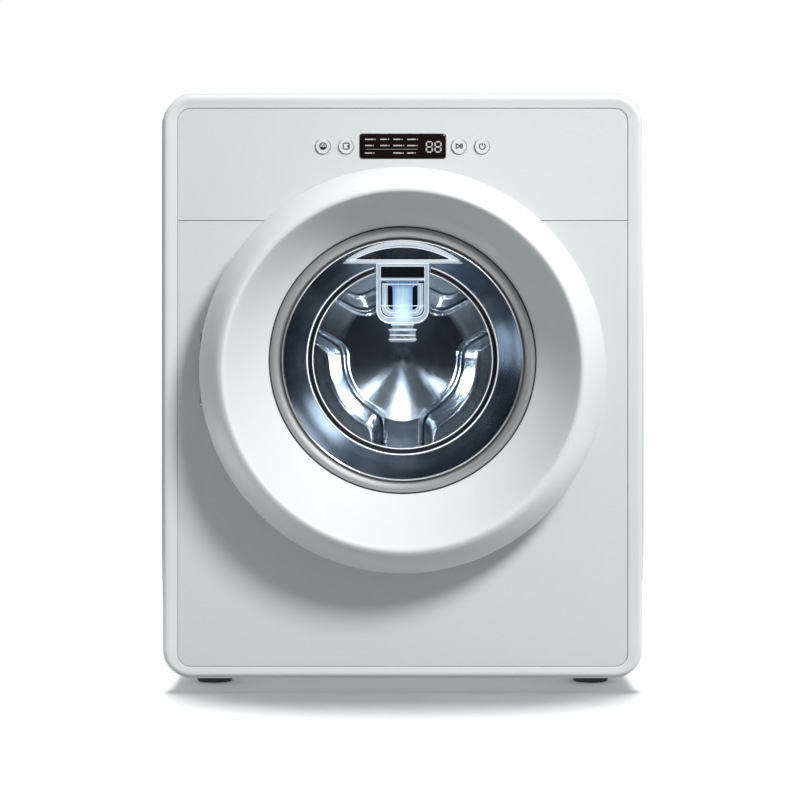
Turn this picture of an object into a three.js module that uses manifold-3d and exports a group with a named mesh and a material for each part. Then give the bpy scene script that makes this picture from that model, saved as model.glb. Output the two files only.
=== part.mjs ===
// A compact front-loading washing machine with a large dished round door.
// Millimetres, +Z up. The front faces -Y, +X is to the right of someone facing it,
// and the origin is on the floor, below the middle of the machine.
import * as THREE from "three";
import { mergeVertices } from "three/addons/utils/BufferGeometryUtils.js";
import Module from "manifold-3d";

const wasm = await Module();
wasm.setup();

// ---------------------------------------------------------------- driving dimensions
const cabinetWidth = 445;
const cabinetHeight = 540;
const cabinetDepth = 338; // front face of the frame to the back edge of the shell
const cornerRadius = 28;
const footHeight = 12; // gap between the floor and the cabinet
const rearReach = 12; // how far the hose spigots and the cable gland stand out at the back

const frameWall = 3;
const frameDepth = 22;
const frameBorder = { side: 15, top: 14, bottom: 11.5 };
const openingRadius = 12; // corners of the frame's opening
const shellInset = 3.4; // the shell stands this far inside the frame's outline
const sheet = 1.2; // steel sheet of the shell and the front panel
const panelGap = 0.5;
const panelFace = 1.5; // the front panels lie this far behind the frame's face
const fasciaWall = 2.5;
const fasciaHeight = 103.5;
const topCoverHeight = 40;

const doorSideMargin = 37.1; // cabinet side to door rim
const doorRise = 15; // door centre above the cabinet's middle
const doorProud = 61.5; // rim crest in front of the frame's face
const rimDepth = 22; // door radius less crest radius
const dishWidth = 37.5; // crest to the dish's inner edge
const dishLift = 10; // the glass sits this far above the rim's centre
const doorWall = 2.8;
const trimWidth = 10.4;
const glassWall = 4;
const glassDepth = 46; // bowl bottom behind the frame's face
const glassTaper = 24; // glass radius less the bowl bottom's radius
const doorSwing = { axisInset: 3.4, axisY: -10.5 }; // hinge line from the door's rim

const runningGap = 0.4; // between neighbouring pieces
const fitGap = 0.3; // between a pin and its hole
const tubTravel = 5; // the suspended tub moves this far up and down
const tubSideRoom = 27.5; // cabinet side to the tub's wall at its widest
const tubWall = 3;
const tubFlange = 6;
const tubFront = 42;
const tubSplit = 150;
const tubBackRoom = 72; // tub's back wall to the cabinet's back edge
const drumGap = 13; // drum wall to tub wall
const drumWall = 1;
const mouthGap = 8; // glass to the gasket's clear way
const mouthLand = 3; // the clear way to the front panel's mouth
const seamClear = 2.4; // the front panel's mouth to its seam with the fascia
const trimSeat = 2; // how far the trim ring stands inside the dish's edge

const shaftRadius = 12.5;
const bearingRadius = 26;
const hubWall = 7.6;
const hubLength = 28; // how far the bearing hub stands behind the tub's back
const pulleyRadius = 95;
const pulleyGap = 5; // hub to pulley rim
const pulleyWidth = 11;
const motorRadius = 43;
const motorGap = 3; // motor to tub wall
const motorPulleyRadius = 9.5;
const motorAngle = THREE.MathUtils.degToRad(28);
const beltThickness = 3;
const beltGap = 0.6;

const buttonSpots = { heat: -73.3, course: -52, start_pause: 52, power: 73.3 };
const buttonRadius = 7.2;
const buttonDrop = 49; // cabinet top to the row of buttons
const windowSize = { width: 80, height: 23.5, corner: 2.5 };

const footSpots = { front: 80, rear: cabinetDepth - 38 }; // depth of the feet
const footRadius = 17;
const studRadius = 4;
const baseRailHeight = 16;
const baseRailWidth = 24;
const damperSpread = 125;
const damperDepth = 105;
const springSpread = 150;

const ROUND = 40; // sides of the large outer rings
const INNER = 24; // sides of the rings inside the cabinet
const SMALL = 12; // sides of bosses, pins and tubes

// ---------------------------------------------------------------- sizes that follow
const halfWidth = cabinetWidth / 2;
const cabinetBottom = footHeight;
const cabinetTop = cabinetBottom + cabinetHeight;
const doorZ = cabinetBottom + cabinetHeight / 2 + doorRise;
const axisZ = doorZ + dishLift;
const openingHalf = halfWidth - frameBorder.side;
const openingTop = cabinetTop - frameBorder.top;
const openingBottom = cabinetBottom + frameBorder.bottom;
const seamZ = openingTop - fasciaHeight;
const rimToMouth = rimDepth + dishWidth + trimSeat + trimWidth - mouthGap - mouthLand;
const doorRadius = Math.min(halfWidth - doorSideMargin, seamZ - axisZ - seamClear + rimToMouth);
const crestRadius = doorRadius - rimDepth;
const dishInner = crestRadius - dishWidth;
const trimOuter = dishInner - trimSeat;
const glassRadius = trimOuter - trimWidth;
const flangeRadius = trimOuter - 3;
const mouthRadius = glassRadius + mouthGap; // clear way through the gasket
const drumMouth = mouthRadius + 2;
const tubMouth = mouthRadius + 5.5;
const panelMouth = mouthRadius + mouthLand;
const shellInner = shellInset + sheet;
const baseFloor = cabinetBottom + shellInner + runningGap;
const baseTop = baseFloor + baseRailHeight;
const motorDrop = (axisZ - baseTop - 2 * tubTravel - motorRadius) / Math.cos(motorAngle);
const topRoom = cabinetTop - shellInner - axisZ - tubTravel - 35;
const tubRadius = Math.min(halfWidth - shellInner - tubSideRoom, motorDrop - motorRadius - motorGap, topRoom);
const drumRadius = tubRadius - tubWall - drumGap;
const motorReach = tubRadius + motorRadius + motorGap;
const buttonZ = cabinetTop - buttonDrop;
const hingeX = -(doorRadius - doorSwing.axisInset);
const tubBack = cabinetDepth - tubBackRoom;
const hubEnd = tubBack + hubLength;
const pulleyFront = hubEnd + pulleyGap;
const drumBackY = tubBack - 20;
const baseHalf = halfWidth - shellInset - cornerRadius;

// ---------------------------------------------------------------- solids and geometry
// Turns a closed geometry's faces outwards, whichever way its profile ran.
function facingOut(geometry) {
  const g = geometry.index ? geometry.toNonIndexed() : geometry.clone();
  g.deleteAttribute("normal");
  g.deleteAttribute("uv");
  const p = g.attributes.position;
  const [a, b, c] = [new THREE.Vector3(), new THREE.Vector3(), new THREE.Vector3()];
  let volume = 0;
  for (let i = 0; i < p.count; i += 3) {
    a.fromBufferAttribute(p, i);
    b.fromBufferAttribute(p, i + 1);
    c.fromBufferAttribute(p, i + 2);
    volume += a.dot(b.cross(c));
  }
  if (volume < 0) {
    for (let i = 0; i < p.count; i += 3) {
      b.fromBufferAttribute(p, i + 1);
      c.fromBufferAttribute(p, i + 2);
      p.setXYZ(i + 1, c.x, c.y, c.z);
      p.setXYZ(i + 2, b.x, b.y, b.z);
    }
  }
  return g;
}

function solid(geometry) {
  const merged = mergeVertices(facingOut(geometry), 1e-3);
  return new wasm.Manifold(
    new wasm.Mesh({
      numProp: 3,
      vertProperties: merged.attributes.position.array,
      triVerts: new Uint32Array(merged.index.array),
    }),
  );
}

function geometryOf(manifold) {
  const mesh = manifold.getMesh();
  const positions = new Float32Array(mesh.numVert * 3);
  for (let i = 0; i < mesh.numVert; i++) {
    positions.set(mesh.vertProperties.subarray(i * mesh.numProp, i * mesh.numProp + 3), i * 3);
  }
  return new THREE.BufferGeometry()
    .setAttribute("position", new THREE.BufferAttribute(positions, 3))
    .setIndex(new THREE.BufferAttribute(mesh.triVerts, 1));
}

function cut(geometry, ...tools) {
  return geometryOf(tools.reduce((left, tool) => left.subtract(solid(tool)), solid(geometry)));
}

function join(...pieces) {
  return geometryOf(pieces.map(solid).reduce((whole, piece) => whole.add(piece)));
}

function common(geometry, tool) {
  return geometryOf(solid(geometry).intersect(solid(tool)));
}

// A solid of revolution about the Y axis, from [radius, y] points that close on themselves.
function ring(profile, steps = ROUND) {
  const points = [...profile, profile[0]].map(([r, y]) => new THREE.Vector2(r, y));
  return facingOut(new THREE.LatheGeometry(points, steps));
}

// A solid of revolution about the Y axis whose profile starts and ends on the axis.
function turned(profile, steps = SMALL) {
  return facingOut(new THREE.LatheGeometry(profile.map(([r, y]) => new THREE.Vector2(r, y)), steps));
}

// The same solids standing on the Z axis: profile points are [radius, z].
const uprightRing = (profile, steps = SMALL) => ring(profile, steps).rotateX(Math.PI / 2);
const upright = (profile, steps = SMALL) => turned(profile, steps).rotateX(Math.PI / 2);

const shapeOf = (points) => new THREE.Shape(points.map(([x, z]) => new THREE.Vector2(x, z)));
const holeOf = (points) => new THREE.Path(points.map(([x, z]) => new THREE.Vector2(x, z)));

// A plate drawn in X and Z, from depth y0 to y0 + thickness.
function plate(points, y0, thickness, holes = []) {
  const shape = shapeOf(points);
  shape.holes = holes.map(holeOf);
  const g = new THREE.ExtrudeGeometry(shape, { depth: thickness, bevelEnabled: false });
  return facingOut(g.rotateX(Math.PI / 2).translate(0, y0 + thickness, 0));
}

function block(x0, x1, y0, y1, z0, z1) {
  const g = new THREE.BoxGeometry(x1 - x0, y1 - y0, z1 - z0);
  return g.translate((x0 + x1) / 2, (y0 + y1) / 2, (z0 + z1) / 2);
}

function circlePoints(radius, steps = ROUND, x = 0, z = 0) {
  return Array.from({ length: steps }, (_, i) => {
    const angle = (i / steps) * 2 * Math.PI;
    return [x + radius * Math.cos(angle), z + radius * Math.sin(angle)];
  });
}

function arcPoints(radius, from, to, steps, x = 0, z = 0) {
  return Array.from({ length: steps + 1 }, (_, i) => {
    const angle = from + (i / steps) * (to - from);
    return [x + radius * Math.cos(angle), z + radius * Math.sin(angle)];
  });
}

// The corners of a rounded rectangle, anticlockwise from the right side.
function roundedLoop(half, bottom, top, radius, steps = 5) {
  const quarter = Math.PI / 2;
  const centres = [
    [half - radius, top - radius],
    [-half + radius, top - radius],
    [-half + radius, bottom + radius],
    [half - radius, bottom + radius],
  ];
  return centres.flatMap(([x, z], i) =>
    arcPoints(radius, i * quarter, (i + 1) * quarter, steps, x, z),
  );
}

// The cabinet's outline, moved inwards by inset.
const cabinetLoop = (inset) =>
  roundedLoop(halfWidth - inset, cabinetBottom + inset, cabinetTop - inset, cornerRadius - inset);

// The frame's opening, moved inwards by inset.
const openingLoop = (inset) =>
  roundedLoop(openingHalf - inset, openingBottom + inset, openingTop - inset, openingRadius - inset);

// Closed loops of points joined each to the next, and the last to the first.
function stitched(loops) {
  const count = loops[0].length;
  const positions = loops.flat().flat();
  const index = [];
  loops.forEach((_, i) => {
    const next = (i + 1) % loops.length;
    for (let j = 0; j < count; j++) {
      const k = (j + 1) % count;
      const [a, b, c, d] = [i * count + j, i * count + k, next * count + k, next * count + j];
      index.push(a, b, c, a, c, d);
    }
  });
  const g = new THREE.BufferGeometry()
    .setAttribute("position", new THREE.Float32BufferAttribute(positions, 3))
    .setIndex(index);
  return facingOut(g);
}

// A ring whose circles may stand above the axis: profile points are [radius, y, lift].
function liftedRing(profile, steps = ROUND) {
  return stitched(
    profile.map(([r, y, lift]) => circlePoints(r, steps, 0, lift).map(([x, z]) => [x, y, z])),
  );
}

// A round tube along a smooth path.
function tube(points, radius, steps, sides = 10) {
  const path = new THREE.CatmullRomCurve3(points.map((p) => new THREE.Vector3(...p)), false, "centripetal");
  const section = shapeOf(circlePoints(radius, sides));
  return facingOut(new THREE.ExtrudeGeometry(section, { steps, bevelEnabled: false, extrudePath: path }));
}

// ---------------------------------------------------------------- materials
const finish = (color, roughness, metalness = 0, extra = {}) =>
  new THREE.MeshStandardMaterial({ color, roughness, metalness, ...extra });

const whitePaint = finish("#e4e7e7", 0.35);
const panelPaint = finish("#d3d7d8", 0.42);
const doorGloss = finish("#eceeee", 0.22);
const trimSatin = finish("#8f9292", 0.35, 0.6);
const clearGlass = finish("#cfdbe4", 0.05, 0, { transparent: true, opacity: 0.35 });
const clearPlastic = finish("#e6eef2", 0.08, 0, { transparent: true, opacity: 0.4 });
const bluePlastic = finish("#7fb2ee", 0.15, 0, { transparent: true, opacity: 0.7 });
const stainless = finish("#b9bec2", 0.22, 1);
const bareSteel = finish("#9fa3a6", 0.35, 1);
const castAluminium = finish("#a9adb0", 0.5, 0.9);
const innerPlastic = finish("#c9cdce", 0.6);
const darkPlastic = finish("#1b1717", 0.25);
const boardGreen = finish("#1f5a3a", 0.5);
const softRubber = finish("#7c8082", 0.75);
const blackRubber = finish("#1e1f20", 0.8);
const concrete = finish("#8e8c88", 0.95);

function node(name, geometry, material, parent, position = [0, 0, 0]) {
  const mesh = new THREE.Mesh(facingOut(geometry), material);
  mesh.name = name;
  mesh.position.set(...position);
  parent.add(mesh);
  return mesh;
}

// ---------------------------------------------------------------- groups
const washingMachine = new THREE.Group();
washingMachine.position.y = (doorProud - cabinetDepth - rearReach) / 2;
const door = new THREE.Group(); // depth 0 is the frame's front face, height 0 the rim's centre
door.position.z = doorZ;
const drumLine = new THREE.Group(); // height 0 is the drum's axis
drumLine.position.z = axisZ;
washingMachine.add(door, drumLine);

// ---------------------------------------------------------------- cabinet
// The bezel round the front: a rounded L section with a lip that frames the panels.
function frontFrame() {
  const at = (loop, y) => loop.map(([x, z]) => [x, y, z]);
  return stitched([
    at(cabinetLoop(0), frameDepth),
    at(cabinetLoop(0), 9),
    at(cabinetLoop(1), 4),
    at(cabinetLoop(3.4), 1.2),
    at(cabinetLoop(6.8), 0),
    at(openingLoop(-1.2), 0),
    at(openingLoop(0), 0.9),
    at(openingLoop(0), frameWall),
    at(cabinetLoop(frameWall), frameWall + 1),
    at(cabinetLoop(frameWall), frameDepth),
  ]);
}
node("front_frame", frontFrame(), whitePaint, washingMachine);

// The steel shell is one rounded tube, parted near the top so that the cover lifts off.
const shellFront = frameWall + 1.6;
const shellTube = plate(cabinetLoop(shellInset), shellFront, cabinetDepth - shellFront, [
  cabinetLoop(shellInner),
]);
const shellSplit = cabinetTop - topCoverHeight;
const wide = halfWidth + 10;

function footHoles(radius) {
  return Object.values(footSpots).flatMap((y) =>
    [-1, 1].map((side) =>
      upright([[0, -5], [radius, -5], [radius, 60], [0, 60]]).translate(side * footX, y, 0),
    ),
  );
}
const footX = baseHalf - baseRailWidth / 2;

const shellWrap = cut(
  shellTube,
  block(-wide, wide, -20, cabinetDepth + 20, shellSplit - fitGap / 2, cabinetTop + 20),
  ...footHoles(studRadius + 3),
);
node("cabinet_wrap", shellWrap, whitePaint, washingMachine);
node(
  "top_cover",
  common(shellTube, block(-wide, wide, -20, cabinetDepth + 20, shellSplit + fitGap / 2, cabinetTop + 20)),
  whitePaint,
  washingMachine,
);

// The upper fascia carries the display window and four round push buttons.
const panelLoop = openingLoop(panelGap);
const panelHalf = openingHalf - panelGap;
const seamHalf = 0.3; // half the gap between fascia and front panel
const fasciaOutline = [
  ...panelLoop.filter(([, z]) => z > seamZ),
  [-panelHalf, seamZ + seamHalf],
  [panelHalf, seamZ + seamHalf],
];
const windowLoop = (inset) =>
  roundedLoop(
    windowSize.width / 2 - inset,
    buttonZ - windowSize.height / 2 + inset,
    buttonZ + windowSize.height / 2 - inset,
    windowSize.corner - inset,
    3,
  );
const buttonHole = buttonRadius + runningGap;
node(
  "control_fascia",
  plate(fasciaOutline, panelFace, fasciaWall, [
    windowLoop(0),
    ...Object.values(buttonSpots).map((x) => circlePoints(buttonHole, SMALL, x, buttonZ)),
  ]),
  panelPaint,
  washingMachine,
);
node("display_window", plate(windowLoop(runningGap), panelFace - 0.3, 2.2), darkPlastic, washingMachine);

// The lower panel has a folded lip round the door mouth and a slot for the latch.
const latchX = crestRadius - 13.4;
const panelOutline = [
  [panelHalf, seamZ - seamHalf],
  [-panelHalf, seamZ - seamHalf],
  ...panelLoop.filter(([, z]) => z < seamZ),
];
const latchSlot = roundedLoop(9, doorZ - 9, doorZ + 9, 2, 2).map(([x, z]) => [x + latchX, z]);
const mouthLip = ring([
  [panelMouth, panelFace + 0.1],
  [panelMouth + sheet, panelFace + 0.1],
  [panelMouth + sheet, panelFace + 8.5],
  [panelMouth, panelFace + 8.5],
]).translate(0, 0, axisZ);
node(
  "front_panel",
  join(
    plate(panelOutline, panelFace, sheet, [circlePoints(panelMouth, ROUND, 0, axisZ), latchSlot]),
    mouthLip,
  ),
  panelPaint,
  washingMachine,
);

// The rear cover is a plate with a turned-in rim and holes for the hoses and the cable.
const inletSpot = { x: halfWidth - 72, z: cabinetTop - 44 };
const outletSpot = { x: -(halfWidth - 62), z: cabinetBottom + 98 };
const glandSpot = { x: halfWidth - 58, z: cabinetBottom + 98 };
const spigotRadius = 12;
const hoseRadius = 9;
const glandRadius = 9;
const coverY = cabinetDepth - 4;
function rearCover() {
  const outline = cabinetLoop(shellInner + panelGap);
  const holes = [
    circlePoints(spigotRadius + 0.6, SMALL, inletSpot.x, inletSpot.z),
    circlePoints(hoseRadius + 1.2, SMALL, outletSpot.x, outletSpot.z),
    circlePoints(glandRadius + 0.5, SMALL, glandSpot.x, glandSpot.z),
  ];
  const rim = plate(outline, coverY - 8, 9, [cabinetLoop(shellInner + panelGap + sheet)]);
  return join(plate(outline, coverY, sheet, holes), rim);
}
node("rear_cover", rearCover(), whitePaint, washingMachine);

// The base frame is a rail ring with a cross rail under the dampers.
const baseFront = footSpots.front - 20;
const baseRear = footSpots.rear + 20;
const baseRing = cut(
  block(-baseHalf, baseHalf, baseFront, baseRear, baseFloor, baseTop),
  block(
    -baseHalf + baseRailWidth,
    baseHalf - baseRailWidth,
    damperDepth + 16,
    baseRear - baseRailWidth,
    baseFloor - 5,
    baseTop + 5,
  ),
  ...footHoles(studRadius + runningGap),
);
node("base_frame", baseRing, innerPlastic, washingMachine);

// A hat-section rail carries the two suspension springs.
const railY = tubSplit;
const railDrop = 9;
const railTop = cabinetTop - shellInner - railDrop;
const innerCorner = cornerRadius - shellInner; // the rail's ends stay inside this bend
const railHalf =
  halfWidth - cornerRadius - 1 + Math.sqrt(innerCorner ** 2 - (innerCorner - railDrop) ** 2);
const railBottom = railTop - 12;
node(
  "cross_rail",
  cut(
    block(-railHalf, railHalf, railY - 12, railY + 12, railBottom, railTop),
    block(-railHalf - 5, railHalf + 5, railY - 9.5, railY + 9.5, railBottom + 2.5, railTop + 5),
  ),
  bareSteel,
  washingMachine,
);

// ---------------------------------------------------------------- feet
const footProfile = [
  [0, 0],
  [footRadius - 1.5, 0],
  [footRadius, 1.5],
  [footRadius, 5.5],
  [footRadius - 4, 9],
  [studRadius + 4, 9],
  [studRadius + 4, 11],
  [studRadius, 11],
  [studRadius, 42],
  [0, 42],
];
for (const [end, y] of Object.entries(footSpots)) {
  for (const [side, sign] of [["left", -1], ["right", 1]]) {
    const spot = [sign * footX, y, 0];
    node(`levelling_foot_${end}_${side}`, upright(footProfile), blackRubber, washingMachine, spot);
  }
}

// ---------------------------------------------------------------- buttons and board
const buttonProfile = [
  [0, panelFace - 1.6],
  [buttonRadius - 1.4, panelFace - 1.6],
  [buttonRadius, panelFace - 0.9],
  [buttonRadius, panelFace + fasciaWall + runningGap],
  [buttonRadius + 1.4, panelFace + fasciaWall + runningGap],
  [buttonRadius + 1.4, panelFace + fasciaWall + 1.6],
  [3, panelFace + fasciaWall + 1.6],
  [3, 10],
  [0, 10],
];
for (const [name, x] of Object.entries(buttonSpots)) {
  node(`${name}_button`, turned(buttonProfile), whitePaint, washingMachine, [x, 0, buttonZ]);
}
node(
  "control_board",
  join(
    block(-95, 95, 12, 14, buttonZ - 14, buttonZ + 20),
    block(-60, -30, 13.5, 21, buttonZ - 8, buttonZ + 12),
    block(-10, 40, 13.5, 19, buttonZ - 8, buttonZ + 10),
    block(60, 82, 13.5, 21, buttonZ - 6, buttonZ + 14),
  ),
  boardGreen,
  washingMachine,
);

// ---------------------------------------------------------------- door
// The dished door moulding: an undercut side, a rounded crest and an off-centre dish.
const rimY = -doorProud + 34.5; // depth of the widest line
const doorBackY = panelFace - 3;
const dishY = -15.5; // the dish's inner edge
const backEdge = doorRadius - 18.4;
function doorRing() {
  const outer = [
    [backEdge, doorBackY, 0],
    [doorRadius - 2.4, rimY + 4, 0],
    [doorRadius, rimY, 0],
    [doorRadius - 1.4, rimY - 5, 0],
    [doorRadius - 9.4, -doorProud + 14.5, 0],
    [doorRadius - 17.9, -doorProud + 3, 0],
    [crestRadius, -doorProud, 0],
    [crestRadius - 3, -doorProud + 0.6, 0.3],
    [crestRadius - 6, -doorProud + 4, 0.8],
  ];
  const dish = [0.35, 0.7].map((share) => [
    crestRadius - 6 - share * (dishWidth - 6),
    -doorProud + 4 + share * (dishY + doorProud - 4) + 1.2,
    0.8 + share * (dishLift - 0.8),
  ]);
  const edge = [
    [dishInner, dishY - 1.5, dishLift],
    [dishInner - 1.6, dishY, dishLift],
    [dishInner - 1.6, dishY + 4, dishLift],
    [dishInner + 1.6, dishY + 4, dishLift],
  ];
  const inner = [
    ...dish.reverse().map(([r, y, lift]) => [r + 1.6, y + 3, lift]),
    [crestRadius - 5.4, -doorProud + 8, 0.8],
    [crestRadius, -doorProud + doorWall + 1, 0],
    [doorRadius - 19, -doorProud + 6, 0],
    [doorRadius - 11.6, -doorProud + 16.5, 0],
    [doorRadius - 4.4, rimY - 4, 0],
    [doorRadius - 3, rimY, 0],
    [doorRadius - 4.8, rimY + 3.6, 0],
    [backEdge - 2.6, doorBackY - 0.7, 0],
  ];
  dish.reverse();
  return liftedRing([...outer, ...dish, ...edge, ...inner]);
}
const leafHalf = 12;
const notchHalf = leafHalf + 0.6;
const hingeNotch = block(hingeX - 4, hingeX + 24, doorBackY - 13, doorBackY + 2, -notchHalf, notchHalf);
node("door_ring", cut(doorRing(), hingeNotch), doorGloss, door);

// The trim ring and the back ring clamp the glass flange between them.
const glassFace = dishY + 3.4; // front of the glass flange
const flangeBack = glassFace + glassWall;
node(
  "glass_trim_ring",
  ring([
    [trimOuter - 0.1, dishY - 0.6],
    [trimOuter - 0.1, glassFace - runningGap],
    [glassRadius + 1, glassFace - runningGap],
    [glassRadius + 1, glassFace - 1.6],
    [glassRadius + 3, dishY - 0.2],
    [trimOuter - 3, dishY - 1.6],
  ]),
  trimSatin,
  door,
  [0, 0, dishLift],
);

// The glass bowl reaches into the drum's mouth.
const bowlFoot = glassRadius - glassTaper;
function glassBowl() {
  const outside = [
    [flangeRadius, flangeBack],
    [glassRadius + 1, flangeBack],
    [glassRadius - 2.5, glassFace + 12],
    [glassRadius - 11, glassDepth - 27],
    [bowlFoot + 4.5, glassDepth - 11],
    [bowlFoot, glassDepth - 4],
    [bowlFoot - 7, glassDepth - 0.6],
    [bowlFoot - 20, glassDepth],
    [0, glassDepth],
  ];
  const inside = [
    [0, glassDepth - glassWall],
    [bowlFoot - 20, glassDepth - glassWall],
    [bowlFoot - 8.5, glassDepth - glassWall - 0.6],
    [bowlFoot - 3.3, glassDepth - 7],
    [bowlFoot + 0.6, glassDepth - 13],
    [glassRadius - 14.6, glassDepth - 29],
    [glassRadius - 6, glassFace + 10],
    [glassRadius - 1.6, glassFace + 1.5],
    [glassRadius, glassFace],
    [flangeRadius, glassFace],
  ];
  return ring([...outside, ...inside]);
}
node("door_glass", glassBowl(), clearGlass, door, [0, 0, dishLift]);

// The back ring closes the moulding, with ears for the latch and a slot for its hook.
const backRingY = doorBackY - 3;
const latchPivotY = -8;
const trunnion = 2.5;
function doorBackRing() {
  const inner = glassRadius + 1.4;
  const body = stitched([
    circlePoints(backEdge - 3.4, ROUND, 0, 0).map(([x, z]) => [x, backRingY, z]),
    circlePoints(backEdge - 3.4, ROUND, 0, 0).map(([x, z]) => [x, doorBackY, z]),
    circlePoints(inner, ROUND, 0, dishLift).map(([x, z]) => [x, doorBackY, z]),
    circlePoints(inner, ROUND, 0, dishLift).map(([x, z]) => [x, flangeBack + runningGap, z]),
    circlePoints(flangeRadius, ROUND, 0, dishLift).map(([x, z]) => [x, flangeBack + runningGap, z]),
    circlePoints(flangeRadius, ROUND, 0, dishLift).map(([x, z]) => [x, backRingY, z]),
  ]);
  const slot = block(latchX - 6, latchX + 8, backRingY - 3, doorBackY + 3, -7.4, 7.4);
  const ears = [-1, 1].map((side) =>
    cut(
      block(
        latchX - 5,
        latchX + 5,
        latchPivotY - 4.5,
        backRingY + 0.5,
        Math.min(side * 7.4, side * 11),
        Math.max(side * 7.4, side * 11),
      ),
      upright([[0, -12], [trunnion + fitGap, -12], [trunnion + fitGap, 12], [0, 12]])
        .translate(latchX, latchPivotY, 0),
    ),
  );
  return join(cut(body, slot), ...ears);
}
node("door_back_ring", doorBackRing(), innerPlastic, door);

// A sprung hook that turns on trunnions and catches in the lock behind the panel.
const hookTip = 18;
const hook = join(
  block(-2.5, 2.5, 0, hookTip - latchPivotY, -4, 4),
  plate([[2, hookTip - latchPivotY - 5], [6, hookTip - latchPivotY - 5], [2, hookTip - latchPivotY]], 0, 8)
    .rotateX(-Math.PI / 2)
    .translate(0, 0, 4),
  upright([[0, -6.8], [4.4, -6.8], [4.4, 6.8], [0, 6.8]]),
  upright([[0, -10.6], [trunnion, -10.6], [trunnion, 10.6], [0, 10.6]]),
);
node("latch_hook", hook, bareSteel, door, [latchX, latchPivotY, 0]);

// ---------------------------------------------------------------- hinge
const pinRadius = 2.5;
const barrelRadius = 4.4;
const lugHeight = 8;
const lugFoot = leafHalf + 6;
const hingeBore = (reach) =>
  upright([[0, -reach], [pinRadius + fitGap, -reach], [pinRadius + fitGap, reach], [0, reach]]);
const hingeArm = cut(
  join(
    upright([[0, -lugFoot + runningGap], [barrelRadius, -lugFoot + runningGap],
      [barrelRadius, lugFoot - runningGap], [0, lugFoot - runningGap]]),
    block(0, 38, 2.6, 5.4, -leafHalf, leafHalf),
  ),
  hingeBore(lugFoot + 5),
);
node("hinge_arm", hingeArm, bareSteel, door, [hingeX, doorSwing.axisY, 0]);

const plateY = panelFace - fitGap - doorSwing.axisY; // back of the bracket's plate
const lugs = [-1, 1].map((side) => {
  const z = side > 0 ? lugFoot : -lugFoot - lugHeight;
  return join(
    upright([[0, z], [barrelRadius, z], [barrelRadius, z + lugHeight], [0, z + lugHeight]]),
    block(-barrelRadius, barrelRadius, 0, plateY - 0.5, z, z + lugHeight),
  );
});
const bracketReach = lugFoot + lugHeight + 8;
const hingeBracket = cut(
  join(block(-8, 6, plateY - 1.5, plateY, -bracketReach, bracketReach), ...lugs),
  hingeBore(bracketReach),
);
node("hinge_bracket", hingeBracket, bareSteel, washingMachine, [hingeX, doorSwing.axisY, doorZ]);
const pinEnd = lugFoot + lugHeight + fitGap;
node(
  "hinge_pin",
  upright([
    [0, -pinEnd],
    [pinRadius, -pinEnd],
    [pinRadius, pinEnd],
    [3.8, pinEnd],
    [3.8, pinEnd + 1.8],
    [0, pinEnd + 1.8],
  ]),
  bareSteel,
  washingMachine,
  [hingeX, doorSwing.axisY, doorZ],
);

// The lock's housing is open towards the panel, where the hook comes in.
const lockFront = panelFace + sheet + runningGap;
node(
  "door_lock",
  cut(
    block(-14, 20, lockFront, 27, -32, 32),
    block(-10.5, 10.5, lockFront - 5, 22, -10, 10),
  ),
  darkPlastic,
  washingMachine,
  [latchX, 0, doorZ],
);

// ---------------------------------------------------------------- water way on the glass
// A clear tray under the spout, a chute below it, a light guide in the chute and a nozzle.
const chord = (glassRadius - 2) * 0.84; // height of the tray's floor above the glass centre
const trayRadius = glassRadius - 2;
const trayWall = 3.6;
const trayFront = glassDepth - 4;
const trayBack = glassDepth + 14;
const chuteFront = glassDepth + 1.5;
const chuteBack = glassDepth + 16;
const chuteHalf = 25.8;
const chuteWall = 6;
const chuteTop = chord - fitGap;
const chuteBottom = chuteTop - 57;
const segmentPoints = (radius, floor, steps = 16) => {
  const half = Math.acos(floor / radius);
  return arcPoints(radius, Math.PI / 2 - half, Math.PI / 2 + half, steps);
};
function waterTray() {
  const depth = trayBack - trayFront;
  const bowl = plate(segmentPoints(trayRadius, chord), trayFront, depth);
  const hollow = plate(segmentPoints(trayRadius - trayWall, chord + trayWall), trayFront - 5, depth + 3);
  const outlet = block(-16, 16, chuteFront + 3, chuteBack - 5, chord - 5, chord + trayWall + 1);
  return cut(bowl, hollow, outlet);
}
node("water_tray", waterTray(), clearPlastic, door, [0, 0, dishLift]);

const chutePoints = (inset, top) => [
  [chuteHalf - inset, top],
  [-(chuteHalf - inset), top],
  ...roundedLoop(chuteHalf - inset, chuteBottom + inset, chuteTop, 13 - inset, 4)
    .filter(([, z]) => z < chuteBottom + 14),
];
function waterChute() {
  const body = plate(chutePoints(0, chuteTop), chuteFront, chuteBack - chuteFront);
  const hollow = plate(chutePoints(chuteWall, chuteTop + 5), chuteFront - 5, chuteBack - chuteFront + 3);
  const shelfHalf = chuteHalf - 3;
  const shelf = block(-shelfHalf, shelfHalf, chuteFront + 1, chuteBack - 1, chuteTop - 17, chuteTop - 14);
  const outlet = block(-6, 6, chuteFront + 4, chuteBack - 4, chuteBottom - 5, chuteBottom + chuteWall + 1);
  return cut(join(cut(body, hollow), shelf), outlet);
}
node("water_chute", waterChute(), clearPlastic, door, [0, 0, dishLift]);

const guideTop = chuteTop - 17 - fitGap;
const guideFoot = chuteBottom + chuteWall + fitGap;
const guideHalf = [[15.5, 0], [11.5, -2.5], [9.6, -6], [9.6, guideFoot - guideTop]];
const guideOutline = [
  ...guideHalf.map(([x, z]) => [x, guideTop + z]),
  ...[...guideHalf].reverse().map(([x, z]) => [-x, guideTop + z]),
];
node("chute_light", plate(guideOutline, chuteFront + 3, 7), bluePlastic, door, [0, 0, dishLift]);

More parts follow.
